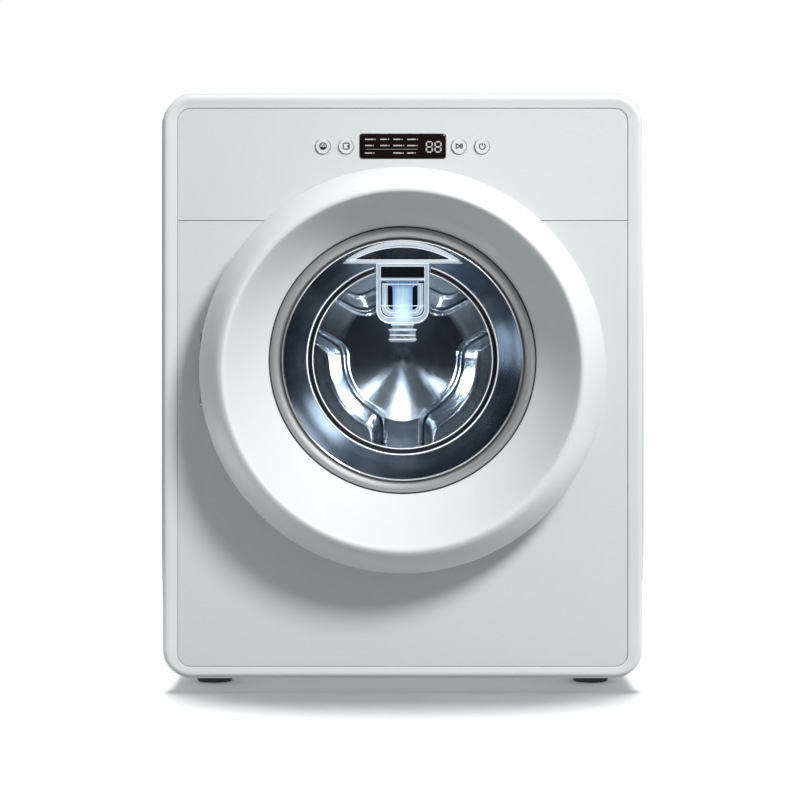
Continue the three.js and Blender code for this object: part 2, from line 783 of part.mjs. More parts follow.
const nozzleRadius = 13.6;
const nozzleTop = chuteBottom - fitGap;
const nozzle = uprightRing([
  [5, nozzleTop],
  [9.5, nozzleTop],
  [9.5, nozzleTop - 4],
  [nozzleRadius, nozzleTop - 5],
  [nozzleRadius, nozzleTop - 18],
  [nozzleRadius - 1.5, nozzleTop - 20],
  [8, nozzleTop - 20],
  [8, nozzleTop - 7],
  [5, nozzleTop - 5],
]).translate(0, chuteFront + nozzleRadius + 0.5, 0);
node("water_nozzle", nozzle, clearPlastic, door, [0, 0, dishLift]);

// ---------------------------------------------------------------- gasket
const spoutY = 21.5;
const spoutRadius = 6.5;
const gasket = cut(
  ring([
    [mouthRadius + 10, panelFace - 0.4],
    [panelMouth - runningGap, panelFace - 0.4],
    [panelMouth - runningGap, 13],
    [mouthRadius + 12, 17],
    [mouthRadius + 12, 26],
    [tubMouth - runningGap, 31],
    [tubMouth - runningGap, tubFront + 4],
    [mouthRadius, tubFront + 4],
    [mouthRadius, 29],
    [mouthRadius + 8.5, 22],
    [mouthRadius, 14.5],
    [mouthRadius, 4.5],
    [glassRadius + 2.4, 1.6],
    [mouthRadius, panelFace - 1.9],
    [mouthRadius + 10, panelFace - 1.9],
  ]),
  upright([[0, mouthRadius - 20], [spoutRadius + 0.8, mouthRadius - 20],
    [spoutRadius + 0.8, mouthRadius + 30], [0, mouthRadius + 30]]).translate(0, spoutY, 0),
);
node("door_gasket", gasket, softRubber, drumLine);

// ---------------------------------------------------------------- tub
const tubInner = tubRadius - tubWall;
const flangeR = tubRadius + tubFlange;
const drainX = -40;
const drainY = 95;
const sumpHole = upright([
  [0, -tubRadius - 20],
  [8, -tubRadius - 20],
  [8, -tubInner + 30],
  [0, -tubInner + 30],
]).translate(drainX, drainY, 0);
const frontHalf = ring(
  [
    [tubMouth, tubFront - 8],
    [tubMouth + 3, tubFront - 8],
    [tubMouth + 3, tubFront],
    [tubRadius, tubFront],
    [tubRadius, tubSplit - 3.6],
    [flangeR, tubSplit - 3.6],
    [flangeR, tubSplit],
    [tubInner, tubSplit],
    [tubInner, tubFront + tubWall],
    [tubMouth, tubFront + tubWall],
  ],
);
node("tub_front", cut(frontHalf, sumpHole), innerPlastic, drumLine);

// The rear half carries the bearing hub, its ribs and the heater's opening.
const hubOuter = bearingRadius + runningGap + hubWall;
const wallBack = tubBack - 4;
const heaterRadius = tubInner - drumGap / 2;
const heaterHalf = 20;
const heaterZ = -Math.sqrt(heaterRadius ** 2 - heaterHalf ** 2);
const rearHalf = ring(
  [
    [tubInner, tubSplit + runningGap],
    [flangeR, tubSplit + runningGap],
    [flangeR, tubSplit + 4],
    [tubRadius, tubSplit + 4],
    [tubRadius, tubBack],
    [hubOuter, tubBack],
    [hubOuter, hubEnd],
    [bearingRadius + runningGap, hubEnd],
    [bearingRadius + runningGap, wallBack - 4],
    [hubOuter, wallBack - 4],
    [hubOuter, wallBack],
    [tubInner, wallBack],
  ],
  INNER,
);
const ribs = Array.from({ length: 8 }, (_, i) =>
  block(-1.6, 1.6, tubBack - 1, tubBack + 9, hubOuter - 1, tubRadius - 8)
    .rotateY(((i + 0.5) / 8) * 2 * Math.PI),
);
const heaterHole = block(-28.5, 28.5, wallBack - 10, tubBack + 10, heaterZ - 4.6, heaterZ + 11.6);
node("tub_rear", cut(join(rearHalf, ...ribs), heaterHole), innerPlastic, drumLine);

const heaterFlange = block(-28, 28, wallBack - 2, tubBack + 3, heaterZ - 4.1, heaterZ + 11.1);
const heaterRod = tube(
  [
    [heaterHalf, wallBack, heaterZ],
    [heaterHalf, (wallBack + 120) / 2, heaterZ],
    [heaterHalf, 120, heaterZ],
    [heaterHalf * 0.7, 98, heaterZ],
    [0, 90, heaterZ],
    [-heaterHalf * 0.7, 98, heaterZ],
    [-heaterHalf, 120, heaterZ],
    [-heaterHalf, (wallBack + 120) / 2, heaterZ],
    [-heaterHalf, wallBack, heaterZ],
  ],
  3.2,
  28,
  6,
);
const terminals = [-heaterHalf, heaterHalf].map((x) =>
  block(x - 3, x + 3, tubBack + 2, tubBack + 11, heaterZ - 0.6, heaterZ + 0.6),
);
node("heater_element", join(heaterFlange, heaterRod, ...terminals), stainless, drumLine);

// A concrete arc bolted below the tub's mouth.
const arcFrom = THREE.MathUtils.degToRad(215);
const arcTo = THREE.MathUtils.degToRad(325);
const weightArc = [
  ...arcPoints(tubRadius - 5, arcFrom, arcTo, 18),
  ...arcPoints(tubMouth + 15.5, arcTo, arcFrom, 18),
];
node("counterweight", plate(weightArc, 19, tubFront - runningGap - 19), concrete, drumLine);

for (const [name, from] of [["bearing_front", wallBack - 2], ["bearing_rear", hubEnd - 13]]) {
  node(
    name,
    ring(
      [
        [shaftRadius + runningGap, from],
        [bearingRadius, from],
        [bearingRadius, from + 11],
        [shaftRadius + runningGap, from + 11],
      ],
      INNER,
    ),
    bareSteel,
    drumLine,
  );
}

// ---------------------------------------------------------------- drum
const drumFront = tubFront + tubWall + 5.5;
node(
  "drum_shell",
  ring(
    [
      [drumMouth, drumFront - 4],
      [drumMouth + 1.2, drumFront - 4],
      [drumMouth + 3, drumFront],
      [drumRadius - 2, drumFront],
      [drumRadius, drumFront + 2],
      [drumRadius, drumBackY + 4.4],
      [drumRadius - drumWall, drumBackY + 4.4],
      [drumRadius - drumWall, drumFront + 2.4],
      [drumRadius - 2.4, drumFront + drumWall],
      [drumMouth + 2.3, drumFront + drumWall],
      [drumMouth, drumFront - 2.6],
    ],
    INNER,
  ),
  stainless,
  drumLine,
);
const backSheet = drumBackY + 1;
node(
  "drum_back",
  turned(
    [
      [0, backSheet - 6],
      [45, backSheet - 5],
      [58, backSheet],
      [drumRadius - drumWall - 0.6, backSheet],
      [drumRadius - drumWall - 0.6, backSheet + 1],
      [57.6, backSheet + 1],
      [44.6, backSheet - 4],
      [0, backSheet - 5],
    ],
    INNER,
  ),
  stainless,
  drumLine,
);

// Three cast arms behind the drum's back carry the shaft.
const spiderFront = drumBackY + 4.8;
const spiderBack = wallBack - 5.2;
const shaftEnd = pulleyFront + pulleyWidth + 4;
const spiderArms = [30, 150, 270].map((angle) =>
  block(0, drumRadius - 8, spiderFront, spiderBack, -15, 15).rotateY(THREE.MathUtils.degToRad(-angle)),
);
const spider = join(
  turned([[0, spiderFront], [shaftRadius, spiderFront], [shaftRadius, shaftEnd], [0, shaftEnd]], INNER),
  turned([[0, spiderFront], [30, spiderFront], [30, spiderBack], [0, spiderBack]], INNER),
  ...spiderArms,
);
node("drum_spider", spider, castAluminium, drumLine);

const drumFlat = (drumRadius - drumWall) * Math.cos(Math.PI / INNER);
const lifterFoot = Math.sqrt(drumFlat ** 2 - 22 ** 2) - runningGap;
const lifterShape = [
  [22, lifterFoot],
  [-22, lifterFoot],
  [-15, lifterFoot - 20],
  [-9, lifterFoot - 31],
  [9, lifterFoot - 31],
  [15, lifterFoot - 20],
];
[90, 210, 330].forEach((angle, i) => {
  const lifter = node(`lifter_${i + 1}`, plate(lifterShape, 74, drumBackY - 84), innerPlastic, drumLine);
  lifter.rotation.y = THREE.MathUtils.degToRad(90 - angle);
});

node(
  "drum_pulley",
  ring(
    [
      [shaftRadius + runningGap, pulleyFront - 3],
      [shaftRadius + 8, pulleyFront - 3],
      [shaftRadius + 8, pulleyFront + 4],
      [pulleyRadius - 9, pulleyFront + 4],
      [pulleyRadius - 9, pulleyFront],
      [pulleyRadius, pulleyFront],
      [pulleyRadius, pulleyFront + pulleyWidth],
      [pulleyRadius - 9, pulleyFront + pulleyWidth],
      [pulleyRadius - 9, pulleyFront + 7],
      [shaftRadius + 8, pulleyFront + 7],
      [shaftRadius + 8, shaftEnd],
      [shaftRadius + runningGap, shaftEnd],
    ],
    INNER,
  ),
  castAluminium,
  drumLine,
);

// ---------------------------------------------------------------- motor and belt
const motorX = motorReach * Math.sin(motorAngle);
const motorZ = -motorReach * Math.cos(motorAngle);
const motorFront = tubSplit + 22;
const motorBack = pulleyFront - 15;
const motorBody = turned(
  [
    [0, motorFront],
    [motorRadius - 12, motorFront],
    [motorRadius, motorFront + 10],
    [motorRadius, motorBack - 10],
    [motorRadius - 12, motorBack],
    [6, motorBack],
    [6, motorBack - 38],
    [0, motorBack - 38],
  ],
  24,
);
const bracketTop = motorRadius + motorGap - runningGap;
const motorBracket = block(-14, 14, motorFront + 20, motorBack - 20, motorRadius - 14, bracketTop)
  .rotateY(-motorAngle);
node("motor_housing", join(motorBody, motorBracket), castAluminium, drumLine, [motorX, 0, motorZ]);
node(
  "motor_pulley",
  turned(
    [
      [0, motorBack - 36],
      [5, motorBack - 36],
      [5, pulleyFront - 2],
      [motorPulleyRadius, pulleyFront - 2],
      [motorPulleyRadius, pulleyFront + pulleyWidth + 1],
      [0, pulleyFront + pulleyWidth + 1],
    ],
  ),
  bareSteel,
  drumLine,
  [motorX, 0, motorZ],
);

// The belt's loop: two arcs round the pulleys and the two straight runs that touch both.
function beltLoop(extra) {
  const big = pulleyRadius + extra;
  const small = motorPulleyRadius + extra;
  const lean = Math.asin((big - small) / motorReach);
  const wrap = (radius, from, to, steps) => arcPoints(radius, from, to, steps);
  const around = [
    ...wrap(big, -lean, Math.PI + lean, 32),
    ...wrap(small, Math.PI + lean, 2 * Math.PI - lean, 12).map(([x, z]) => [x, z - motorReach]),
  ];
  const [c, s] = [Math.cos(motorAngle), Math.sin(motorAngle)];
  return around.map(([x, z]) => [x * c - z * s, x * s + z * c]);
}
node(
  "drive_belt",
  plate(beltLoop(beltGap + beltThickness), pulleyFront + 1, pulleyWidth - 2, [beltLoop(beltGap)]),
  blackRubber,
  drumLine,
);

// ---------------------------------------------------------------- suspension
const cylinderRadius = 11;
const rodRadius = 5;
const rodFoot = baseTop + 20;
const eyeTop = axisZ - Math.sqrt(tubRadius ** 2 - (damperSpread - 9) ** 2) - 2;
const cylinderTop = rodFoot + Math.min(45, (eyeTop - rodFoot) / 2);
for (const [side, sign] of [["left", -1], ["right", 1]]) {
  const spot = [sign * damperSpread, damperDepth, 0];
  node(
    `damper_cylinder_${side}`,
    upright([
      [0, baseTop + runningGap],
      [cylinderRadius, baseTop + runningGap],
      [cylinderRadius, cylinderTop],
      [rodRadius + runningGap, cylinderTop],
      [rodRadius + runningGap, rodFoot - tubTravel - 2],
      [0, rodFoot - tubTravel - 2],
    ]),
    darkPlastic,
    washingMachine,
    spot,
  );
  node(
    `damper_rod_${side}`,
    upright([
      [0, rodFoot],
      [rodRadius, rodFoot],
      [rodRadius, eyeTop - 14],
      [9, eyeTop - 12],
      [9, eyeTop],
      [0, eyeTop],
    ]),
    bareSteel,
    washingMachine,
    spot,
  );
}

// A coil of wire from the tub's flange up to the cross rail.
const springFoot = axisZ + Math.sqrt(flangeR ** 2 - (springSpread - 9) ** 2) + 3;
const springTop = railBottom - 2.5;
const springTurns = 5;
const coilRadius = 7.5;
const wireRadius = 1.4;
const coilSteps = springTurns * 8;
const coil = Array.from({ length: coilSteps + 1 }, (_, i) => {
  const angle = (i / coilSteps) * springTurns * 2 * Math.PI;
  const z = springFoot + (i / coilSteps) * (springTop - springFoot);
  return [coilRadius * Math.cos(angle), coilRadius * Math.sin(angle), z];
});
for (const [side, sign] of [["left", -1], ["right", 1]]) {
  node(
    `suspension_spring_${side}`,
    tube(coil, wireRadius, coilSteps, 5),
    bareSteel,
    washingMachine,
    [sign * springSpread, railY, 0],
  );
}

// ---------------------------------------------------------------- water in and out
const valveFront = coverY - 42;
const inletValve = join(
  block(-15, 15, valveFront, coverY - 2, -17, 17),
  turned([[0, valveFront - 8], [5.5, valveFront - 8], [5.5, valveFront + 1], [0, valveFront + 1]]),
  turned([
    [0, coverY - 3],
    [spigotRadius, coverY - 3],
    [spigotRadius, cabinetDepth + rearReach],
    [spigotRadius - 3, cabinetDepth + rearReach],
    [spigotRadius - 3, cabinetDepth - 2],
    [0, cabinetDepth - 2],
  ]),
);
node("inlet_valve", inletValve, innerPlastic, washingMachine, [inletSpot.x, 0, inletSpot.z]);

const spoutTop = axisZ + mouthRadius + 12;
node(
  "inlet_duct",
  tube(
    [
      [inletSpot.x, valveFront - 8 - runningGap, inletSpot.z],
      [inletSpot.x, valveFront - 36, inletSpot.z],
      [springSpread - 32, railY + 40, railBottom - 24],
      [springSpread - 38, railY - 40, railBottom - 26],
      [inletSpot.x * 0.6, tubFront - 4, railBottom - 30],
      [inletSpot.x * 0.3, tubFront - 17, spoutTop + 31],
      [3, spoutY + 1, spoutTop + 14],
      [0, spoutY, spoutTop],
      [0, spoutY, spoutTop - 6],
    ],
    spoutRadius,
    24,
    8,
  ),
  blackRubber,
  washingMachine,
);

// The drain pump lies under the tub, with a bellows above it and a hose to the back.
const pumpRadius = 26;
const pumpZ = baseTop + 3 + pumpRadius;
const pumpNipple = 30;
const pump = join(
  turned(
    [
      [0, 66],
      [pumpRadius - 4, 66],
      [pumpRadius, 70],
      [pumpRadius, 112],
      [pumpRadius - 8, 118],
      [0, 118],
    ],
    INNER,
  ),
  upright([[0, 10], [9, 10], [9, pumpNipple], [0, pumpNipple]]).translate(0, drainY, 0),
  turned([[0, 117], [7, 117], [7, 126], [0, 126]]),
);
node("drain_pump", pump, darkPlastic, washingMachine, [drainX, 0, pumpZ]);

const sumpTop = axisZ - Math.sqrt(tubRadius ** 2 - (Math.abs(drainX) - 12) ** 2) - 0.5;
const sumpFoot = pumpZ + pumpNipple + runningGap;
const folds = 3;
const foldOuter = Array.from({ length: 2 * folds + 1 }, (_, i) => [
  i % 2 ? 12 : 10,
  sumpFoot + (i / (2 * folds)) * (sumpTop - sumpFoot),
]);
const foldInner = [...foldOuter].reverse().map(([r, z]) => [r - 2.4, z]);
const bellows = uprightRing([...foldOuter, ...foldInner]);
node("sump_hose", bellows, blackRubber, washingMachine, [drainX, drainY, 0]);

const pumpOut = 126 + runningGap;
const hoseRun = coverY - pumpOut;
node(
  "drain_hose",
  tube(
    [
      [drainX, pumpOut, pumpZ],
      [drainX, pumpOut + 20, pumpZ],
      [drainX - 18, pumpOut + 0.3 * hoseRun, pumpZ + 2],
      [drainX - 60, pumpOut + 0.54 * hoseRun, pumpZ + 8],
      [outletSpot.x + 22, coverY - 0.3 * hoseRun, outletSpot.z - 18],
      [outletSpot.x + 2, coverY - 28, outletSpot.z - 3],
      [outletSpot.x, coverY - 8, outletSpot.z],
      [outletSpot.x, cabinetDepth + rearReach, outletSpot.z],
    ],
    hoseRadius,
    18,
    8,
  ),
  blackRubber,
  washingMachine,
);

// The mains lead's gland: a flanged bush with a clear bore.
node(
  "cord_gland",
  ring(
    [
      [3.5, coverY - 5],
      [13, coverY - 5],
      [13, coverY - runningGap],
      [glandRadius, coverY - runningGap],
      [glandRadius - 1.5, cabinetDepth + rearReach - 1],
      [3.5, cabinetDepth + rearReach - 1],
    ],
    SMALL,
  ),
  blackRubber,
  washingMachine,
  [glandSpot.x, 0, glandSpot.z],
);

export default washingMachine;
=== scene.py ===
"""A compact front-loading washing machine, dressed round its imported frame.

Shapes are worked out in millimetres as (x, depth, z): x to the right, depth back from the
plane of the front frame, z up from the floor. A piece is turned into metres as it is made.
"""

import math

import bmesh
import bpy
import numpy as np
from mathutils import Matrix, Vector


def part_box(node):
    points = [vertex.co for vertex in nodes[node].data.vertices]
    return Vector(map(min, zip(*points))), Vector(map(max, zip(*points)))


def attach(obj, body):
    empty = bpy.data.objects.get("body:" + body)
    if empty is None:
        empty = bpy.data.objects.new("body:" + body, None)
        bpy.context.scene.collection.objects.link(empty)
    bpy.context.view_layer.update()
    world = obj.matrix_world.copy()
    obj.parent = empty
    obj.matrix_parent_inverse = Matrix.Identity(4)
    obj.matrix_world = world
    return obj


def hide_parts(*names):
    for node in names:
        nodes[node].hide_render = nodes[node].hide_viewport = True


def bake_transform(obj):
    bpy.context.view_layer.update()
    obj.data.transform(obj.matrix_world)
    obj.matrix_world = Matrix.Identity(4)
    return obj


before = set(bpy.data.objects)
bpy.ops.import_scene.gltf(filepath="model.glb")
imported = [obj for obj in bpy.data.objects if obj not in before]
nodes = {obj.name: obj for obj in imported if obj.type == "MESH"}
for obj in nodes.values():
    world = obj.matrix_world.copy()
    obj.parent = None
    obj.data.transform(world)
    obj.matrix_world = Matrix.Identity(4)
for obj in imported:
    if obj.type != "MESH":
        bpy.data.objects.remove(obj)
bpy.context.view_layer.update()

MM = 0.001
TURN = 2 * math.pi
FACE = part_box("front_frame")[0].y
CREASE = 38  # degrees: a sharper fold between two faces stays a hard edge
SAME_POINT = 1e-6  # metres: corners closer than this are one corner


def span(node):
    """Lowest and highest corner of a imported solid, in millimetres of (x, depth, z)."""
    low, high = (np.array(corner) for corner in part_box(node))
    shift = np.array([0, FACE, 0])
    return (low - shift) / MM, (high - shift) / MM


def middle(node):
    """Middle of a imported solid's box, in millimetres of (x, depth, z)."""
    low, high = span(node)
    return (low + high) / 2


DOOR_Z = middle("door_ring")[2]
DRUM_Z = middle("door_glass")[2]
RING_Z = DRUM_Z - 1  # the rings round the glass sit a little below the drum's line
BUTTONS = ("heat_button", "course_button", "start_pause_button", "power_button")
FEET = ("front_left", "front_right", "rear_left", "rear_right")
SIDES = ("left", "right")
ARCH = (85.0, 26.0)  # the tray's outer arch: its radius, and its centre above the drum's line
ARCH_STEPS = 72
CHUTE_GAP = (17.5, 342.5)  # clock angles the bowl's edge lines run between, clear of the chute
DRUM_SKIN = 173.2  # the drum wall's inner radius
LOBE_FADE = (112, 131)  # radii over which the drum back's pressing runs out
MOUTH = (112, 64)  # radius and depth of the small lamps inside the drum's mouth


# --- shader building --------------------------------------------------------------------


class Signal:
    """A value in a shader. The usual signs add the Math nodes they stand for."""

    def __init__(self, finish, socket):
        self.finish, self.socket = finish, socket

    def sum_of(self, operation, *terms):
        return self.finish.node("ShaderNodeMath", {"operation": operation}, dict(enumerate(terms)))

    def __add__(self, other):
        return self.sum_of("ADD", self, other)

    def __radd__(self, other):
        return self.sum_of("ADD", other, self)

    def __sub__(self, other):
        return self.sum_of("SUBTRACT", self, other)

    def __rsub__(self, other):
        return self.sum_of("SUBTRACT", other, self)

    def __mul__(self, other):
        return self.sum_of("MULTIPLY", self, other)

    def __rmul__(self, other):
        return self.sum_of("MULTIPLY", other, self)

    def __pow__(self, other):
        return self.sum_of("POWER", self, other)

    def sine(self):
        return self.sum_of("SINE", self)


class Finish:
    """One material, or the world, and the few moves that build its nodes."""

    def __init__(self, name, world=None):
        self.material = world or bpy.data.materials.new(name)
        self.material.use_nodes = True
        self.tree = self.material.node_tree
        self.tree.nodes.clear()

    def node(self, kind, settings=None, inputs=None, out=0):
        """Adds a node: its settings first, then its sockets' values or links."""
        made = self.tree.nodes.new(kind)
        for key, value in (settings or {}).items():
            if key == "stops":
                ramp = made.color_ramp
                for _ in value[2:]:
                    ramp.elements.new(0.5)
                for element, (position, colour) in zip(ramp.elements, value):
                    element.position, element.color = position, colour
            else:
                setattr(made, key, value)
        for key, value in (inputs or {}).items():
            if isinstance(value, Signal):
                self.tree.links.new(value.socket, made.inputs[key])
            else:
                made.inputs[key].default_value = value
        return Signal(self, made.outputs[out])

    def place(self, centre=(0, 0, 0), scale=(1, 1, 1)):
        """Object coordinates, centred on a point and stretched."""
        here = self.node("ShaderNodeTexCoord", out="Object")
        shift = [-c * s for c, s in zip(centre, scale)]
        return self.node("ShaderNodeMapping", {}, {0: here, "Location": shift, "Scale": scale})

    def parts(self, vector):
        split = self.node("ShaderNodeSeparateXYZ", {}, {0: vector})
        return [Signal(self, output) for output in split.socket.node.outputs]

    def noise(self, scale, detail=3.0, vector=None):
        inputs = {"Vector": vector or self.place(), "Scale": scale, "Detail": detail}
        return self.node("ShaderNodeTexNoise", {}, inputs)

    def cells(self, scale):
        inputs = {"Vector": self.place(), "Scale": scale}
        return self.node("ShaderNodeTexVoronoi", {}, inputs)

    def blend(self, factor, low, high):
        """Colour that goes from low to high as factor goes from 0 to 1."""
        inputs = {0: factor, 6: low, 7: high}
        return self.node("ShaderNodeMix", {"data_type": "RGBA"}, inputs, out=2)

    def between(self, value, low, high, out_low=0.0, out_high=1.0):
        """Eases from out_low to out_high as value goes from low to high."""
        settings = {"interpolation_type": "SMOOTHSTEP"}
        inputs = {0: value, 1: low, 2: high, 3: out_low, 4: out_high}
        return self.node("ShaderNodeMapRange", settings, inputs)

    def relief(self, height, strength, distance):
        """A Bump node: distance is how tall the height's full range stands, in metres."""
        inputs = {"Height": height, "Strength": strength, "Distance": distance}
        return self.node("ShaderNodeBump", {}, inputs, out="Normal")

    def surface(self, **values):
        """The main shader; words_like_this name its sockets."""
        inputs = {key.replace("_", " ").title(): value for key, value in values.items()}
        return self.node("ShaderNodeBsdfPrincipled", {}, inputs)

    def mixed(self, factor, low, high):
        return self.node("ShaderNodeMixShader", {}, {0: factor, 1: low, 2: high})

    def done(self, shader, kind="ShaderNodeOutputMaterial"):
        end = self.tree.nodes.new(kind)
        self.tree.links.new(shader.socket, end.inputs["Surface"])
        return self.material


def rgb(*values):
    return (*values, 1.0)


def shade(colour, share):
    return rgb(*(min(1.0, c * share) for c in colour))


def coated(name, colour, roughness, coat, peel, wear=0.03, glow=None):
    """Paint or moulded plastic: faint clouding, uneven gloss and a fine skin texture. peel is
    how fine the skin's grain is, and how tall in metres; glow is a colour and a strength."""
    f = Finish(name)
    cloud = f.noise(7, 4)
    grain = f.noise(peel[0], 2)
    base = f.blend(cloud, shade(colour, 1 - wear), shade(colour, 1 + wear))
    rough = cloud * 0.1 + grain * 0.06 + (roughness - 0.08)
    skin = f.relief(grain, 0.35, peel[1])
    lit = {"emission_color": glow[0], "emission_strength": glow[1]} if glow else {}
    return f.done(f.surface(base_color=base, roughness=rough, normal=skin, coat_weight=coat,
                            coat_roughness=0.08, **lit))


def ringed_metal(name, colour, roughness, pitch, depth, dark, streaks):
    """Turned or spun metal: fine grooves round the drum's line."""
    f = Finish(name)
    x, _, z = f.parts(f.place((0, 0, DRUM_Z * MM)))
    radius = (x * x + z * z) ** 0.5
    groove = (radius * (TURN / pitch)).sine()
    uneven = f.noise(streaks, 3, f.node("ShaderNodeCombineXYZ", {}, {0: radius, 1: 0.0, 2: 0.0}))
    base = f.blend(uneven, shade(colour, dark), shade(colour, 1.05))
    rough = uneven * 0.14 + (roughness - 0.07)
    height = groove * 0.5 + uneven * 0.8
    return f.done(f.surface(base_color=base, metallic=1.0, roughness=rough,
                            normal=f.relief(height, 1.0, depth)))


def plain_metal(name, colour, roughness, spangle=60, stretch=(1, 1, 1)):
    """Zinc-coated or drawn steel: soft patches of tone with fine scratches along them."""
    f = Finish(name)
    patch = f.cells(spangle)
    streak = f.noise(260, 4, f.place((0, 0, 0), stretch))
    base = f.blend(patch, shade(colour, 0.82), shade(colour, 1.08))
    rough = streak * 0.2 + patch * 0.1 + (roughness - 0.14)
    return f.done(f.surface(base_color=base, metallic=1.0, roughness=rough,
                            normal=f.relief(streak, 0.5, 0.00004)))


def rough_rubber(name, colour, roughness=0.7):
    """Rubber: a dusty bloom in broad patches over a fine matt grain."""
    f = Finish(name)
    bloom = f.noise(22, 5)
    grain = f.noise(1400, 2)
    dusty = shade([c + 0.035 for c in colour[:3]], 1.1)
    base = f.blend(f.between(bloom, 0.35, 0.75), colour, dusty)
    rough = bloom * 0.2 + (roughness - 0.1)
    return f.done(f.surface(base_color=base, roughness=rough, normal=f.relief(grain, 0.5, 0.00008)))


def cast_metal(name, colour):
    """Sand-cast alloy: grainy skin with darker pores."""
    f = Finish(name)
    grain, pores = f.noise(420, 5), f.cells(160)
    base = f.blend(grain, shade(colour, 0.75), shade(colour, 1.1))
    rough = grain * 0.25 + 0.36
    height = grain + f.between(pores, 0.0, 0.4)
    return f.done(f.surface(base_color=base, metallic=1.0, roughness=rough,
                            normal=f.relief(height, 0.7, 0.0003)))


def aggregate(name):
    """Cast concrete: grey paste with pale and dark stones showing through."""
    f = Finish(name)
    stone, dust = f.cells(130), f.noise(600, 5)
    paste = f.blend(dust, rgb(0.27, 0.26, 0.25), rgb(0.42, 0.41, 0.39))
    base = f.blend(f.between(stone, 0.2, 0.28), rgb(0.52, 0.49, 0.45), paste)
    return f.done(f.surface(base_color=base, roughness=dust * 0.1 + 0.82,
                            normal=f.relief(dust + stone, 0.8, 0.0006)))


def circuit(name):
    """Green board with fine copper tracks under its lacquer."""
    f = Finish(name)
    tracks = f.node("ShaderNodeTexBrick", {"offset": 0.5},
                    {"Vector": f.place(), "Scale": 240.0, "Mortar Size": 0.03}, out="Fac")
    tone = f.noise(60, 3)
    base = f.blend(tracks, rgb(0.012, 0.10, 0.035), rgb(0.10, 0.24, 0.07))
    return f.done(f.surface(base_color=base, roughness=tone * 0.15 + 0.28,
                            normal=f.relief(tracks, 0.4, 0.00008)))


def bowl_glass(name):
    """The door's glass: a clear floor, and a glossy wall painted steel blue, a painted reflection
    of the dark drum seen in and through the glass, darker towards its outer edge and with pale
    painted sheen streaks; the wall stays clear over the tray's arch and the chute."""
    f = Finish(name)
    x, _, z = f.parts(f.place((0, FACE, DRUM_Z * MM)))
    radius = (x * x + z * z) ** 0.5
    wall = f.between(radius, 0.0858, 0.0885)
    arch, above = ARCH[0] * MM, z - ARCH[1] * MM
    from_arch = (x * x + above * above) ** 0.5
    over_tray = f.between(z, 0.0874, 0.0882) * f.between(from_arch, arch, arch - 0.8 * MM)
    over_chute = f.between((x * x) ** 0.5, 0.0272, 0.0262) * f.between(z, 0.04, 0.05)
    wall = wall * (1 - over_tray) * (1 - over_chute)
    # painted reflection: the wall's steel blue gets darker outward, with pale painted sheen patches
    # where the streak noise is high; the same noise also varies roughness
    painted_sheen_and_gloss_streaks = f.noise(13, 2, f.place((0, FACE, DRUM_Z * MM), (1, 0.4, 1)))
    tone = f.between(radius, 0.088, 0.112)
    base = f.blend(tone, rgb(0.13, 0.17, 0.215), rgb(0.055, 0.08, 0.11))
    base = f.blend(f.between(painted_sheen_and_gloss_streaks, 0.5, 0.75), base, rgb(0.26, 0.32, 0.385))
    steel = f.surface(base_color=base, metallic=0.85, roughness=painted_sheen_and_gloss_streaks * 0.12 + 0.14)
    clear = f.node("ShaderNodeBsdfTransparent", {}, {0: rgb(0.97, 0.985, 1.0)})
    gloss = f.node("ShaderNodeBsdfAnisotropic", {}, {"Color": rgb(1, 1, 1), "Roughness": 0.03})
    edge = f.node("ShaderNodeLayerWeight", {}, {"Blend": 0.3}, out="Facing")
    pane = f.mixed((edge ** 3) * 0.3, clear, gloss)
    return f.done(f.mixed(wall * 0.86, pane, steel))


def clear_plastic(name, tint, body=0.1, edge_share=1.0, glow=0.0):
    """Clear moulding: you look through its faces, and its edges, where faces turn away, turn white
    and glow as a painted highlight.
    """
    f = Finish(name)
    facing = f.node("ShaderNodeLayerWeight", {}, {"Blend": 0.55}, out="Facing")
    ripple = f.noise(160, 2)
    clear = f.node("ShaderNodeBsdfTransparent", {}, {0: tint})
    skin = f.relief(ripple, 0.3, 0.0002)
    solid = f.surface(base_color=f.blend(ripple, rgb(0.75, 0.80, 0.84), rgb(1, 1, 1)),
                      roughness=ripple * 0.1 + 0.05, normal=skin,
                      emission_color=rgb(0.8, 0.9, 1.0), emission_strength=glow)
    share = (facing ** 1.2) * (edge_share * (1 - body)) + body
    return f.done(f.mixed(share, clear, solid))


def lit_guide(name):
    """Pale blue light guide, whitest along its middle and at its foot."""
    f = Finish(name)
    low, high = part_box("chute_light")
    x, _, z = f.parts(f.place((0, 0, low.z)))
    across = f.between((x * x) ** 0.5, 0.003, 0.0098)
    up = f.between(z, 0.0, high.z - low.z)
    streak = f.noise(700, 2, f.place((0, 0, 0), (1, 1, 0.05)))
    core = f.blend(up, rgb(0.58, 0.78, 0.86), rgb(0.40, 0.60, 0.78))
    colour = f.blend(across, core, rgb(0.19, 0.36, 0.62))
    colour = f.blend(f.between(up, 0.74, 0.97), colour, rgb(0.06, 0.13, 0.30))
    colour = f.blend(f.between(streak, 0.5, 0.8) * 0.4, colour, rgb(0.9, 0.96, 1.0))
    return f.done(f.surface(base_color=colour, roughness=streak * 0.1 + 0.1,
                            emission_color=colour, emission_strength=0.75))


def dark_screen(name):
    """Smoked display window with a very faint raster in it."""
    f = Finish(name)
    raster = f.node("ShaderNodeTexChecker", {}, {"Vector": f.place(), "Scale": 2600.0}, out="Fac")
    cloud = f.noise(30, 2)
    base = f.blend(raster, rgb(0.008, 0.0035, 0.003), rgb(0.014, 0.007, 0.006))
    return f.done(f.surface(base_color=base, roughness=cloud * 0.06 + 0.12, coat_weight=0.4,
                            coat_roughness=0.05, normal=f.relief(raster, 0.05, 0.00001)))


# --- finishes ---------------------------------------------------------------------------


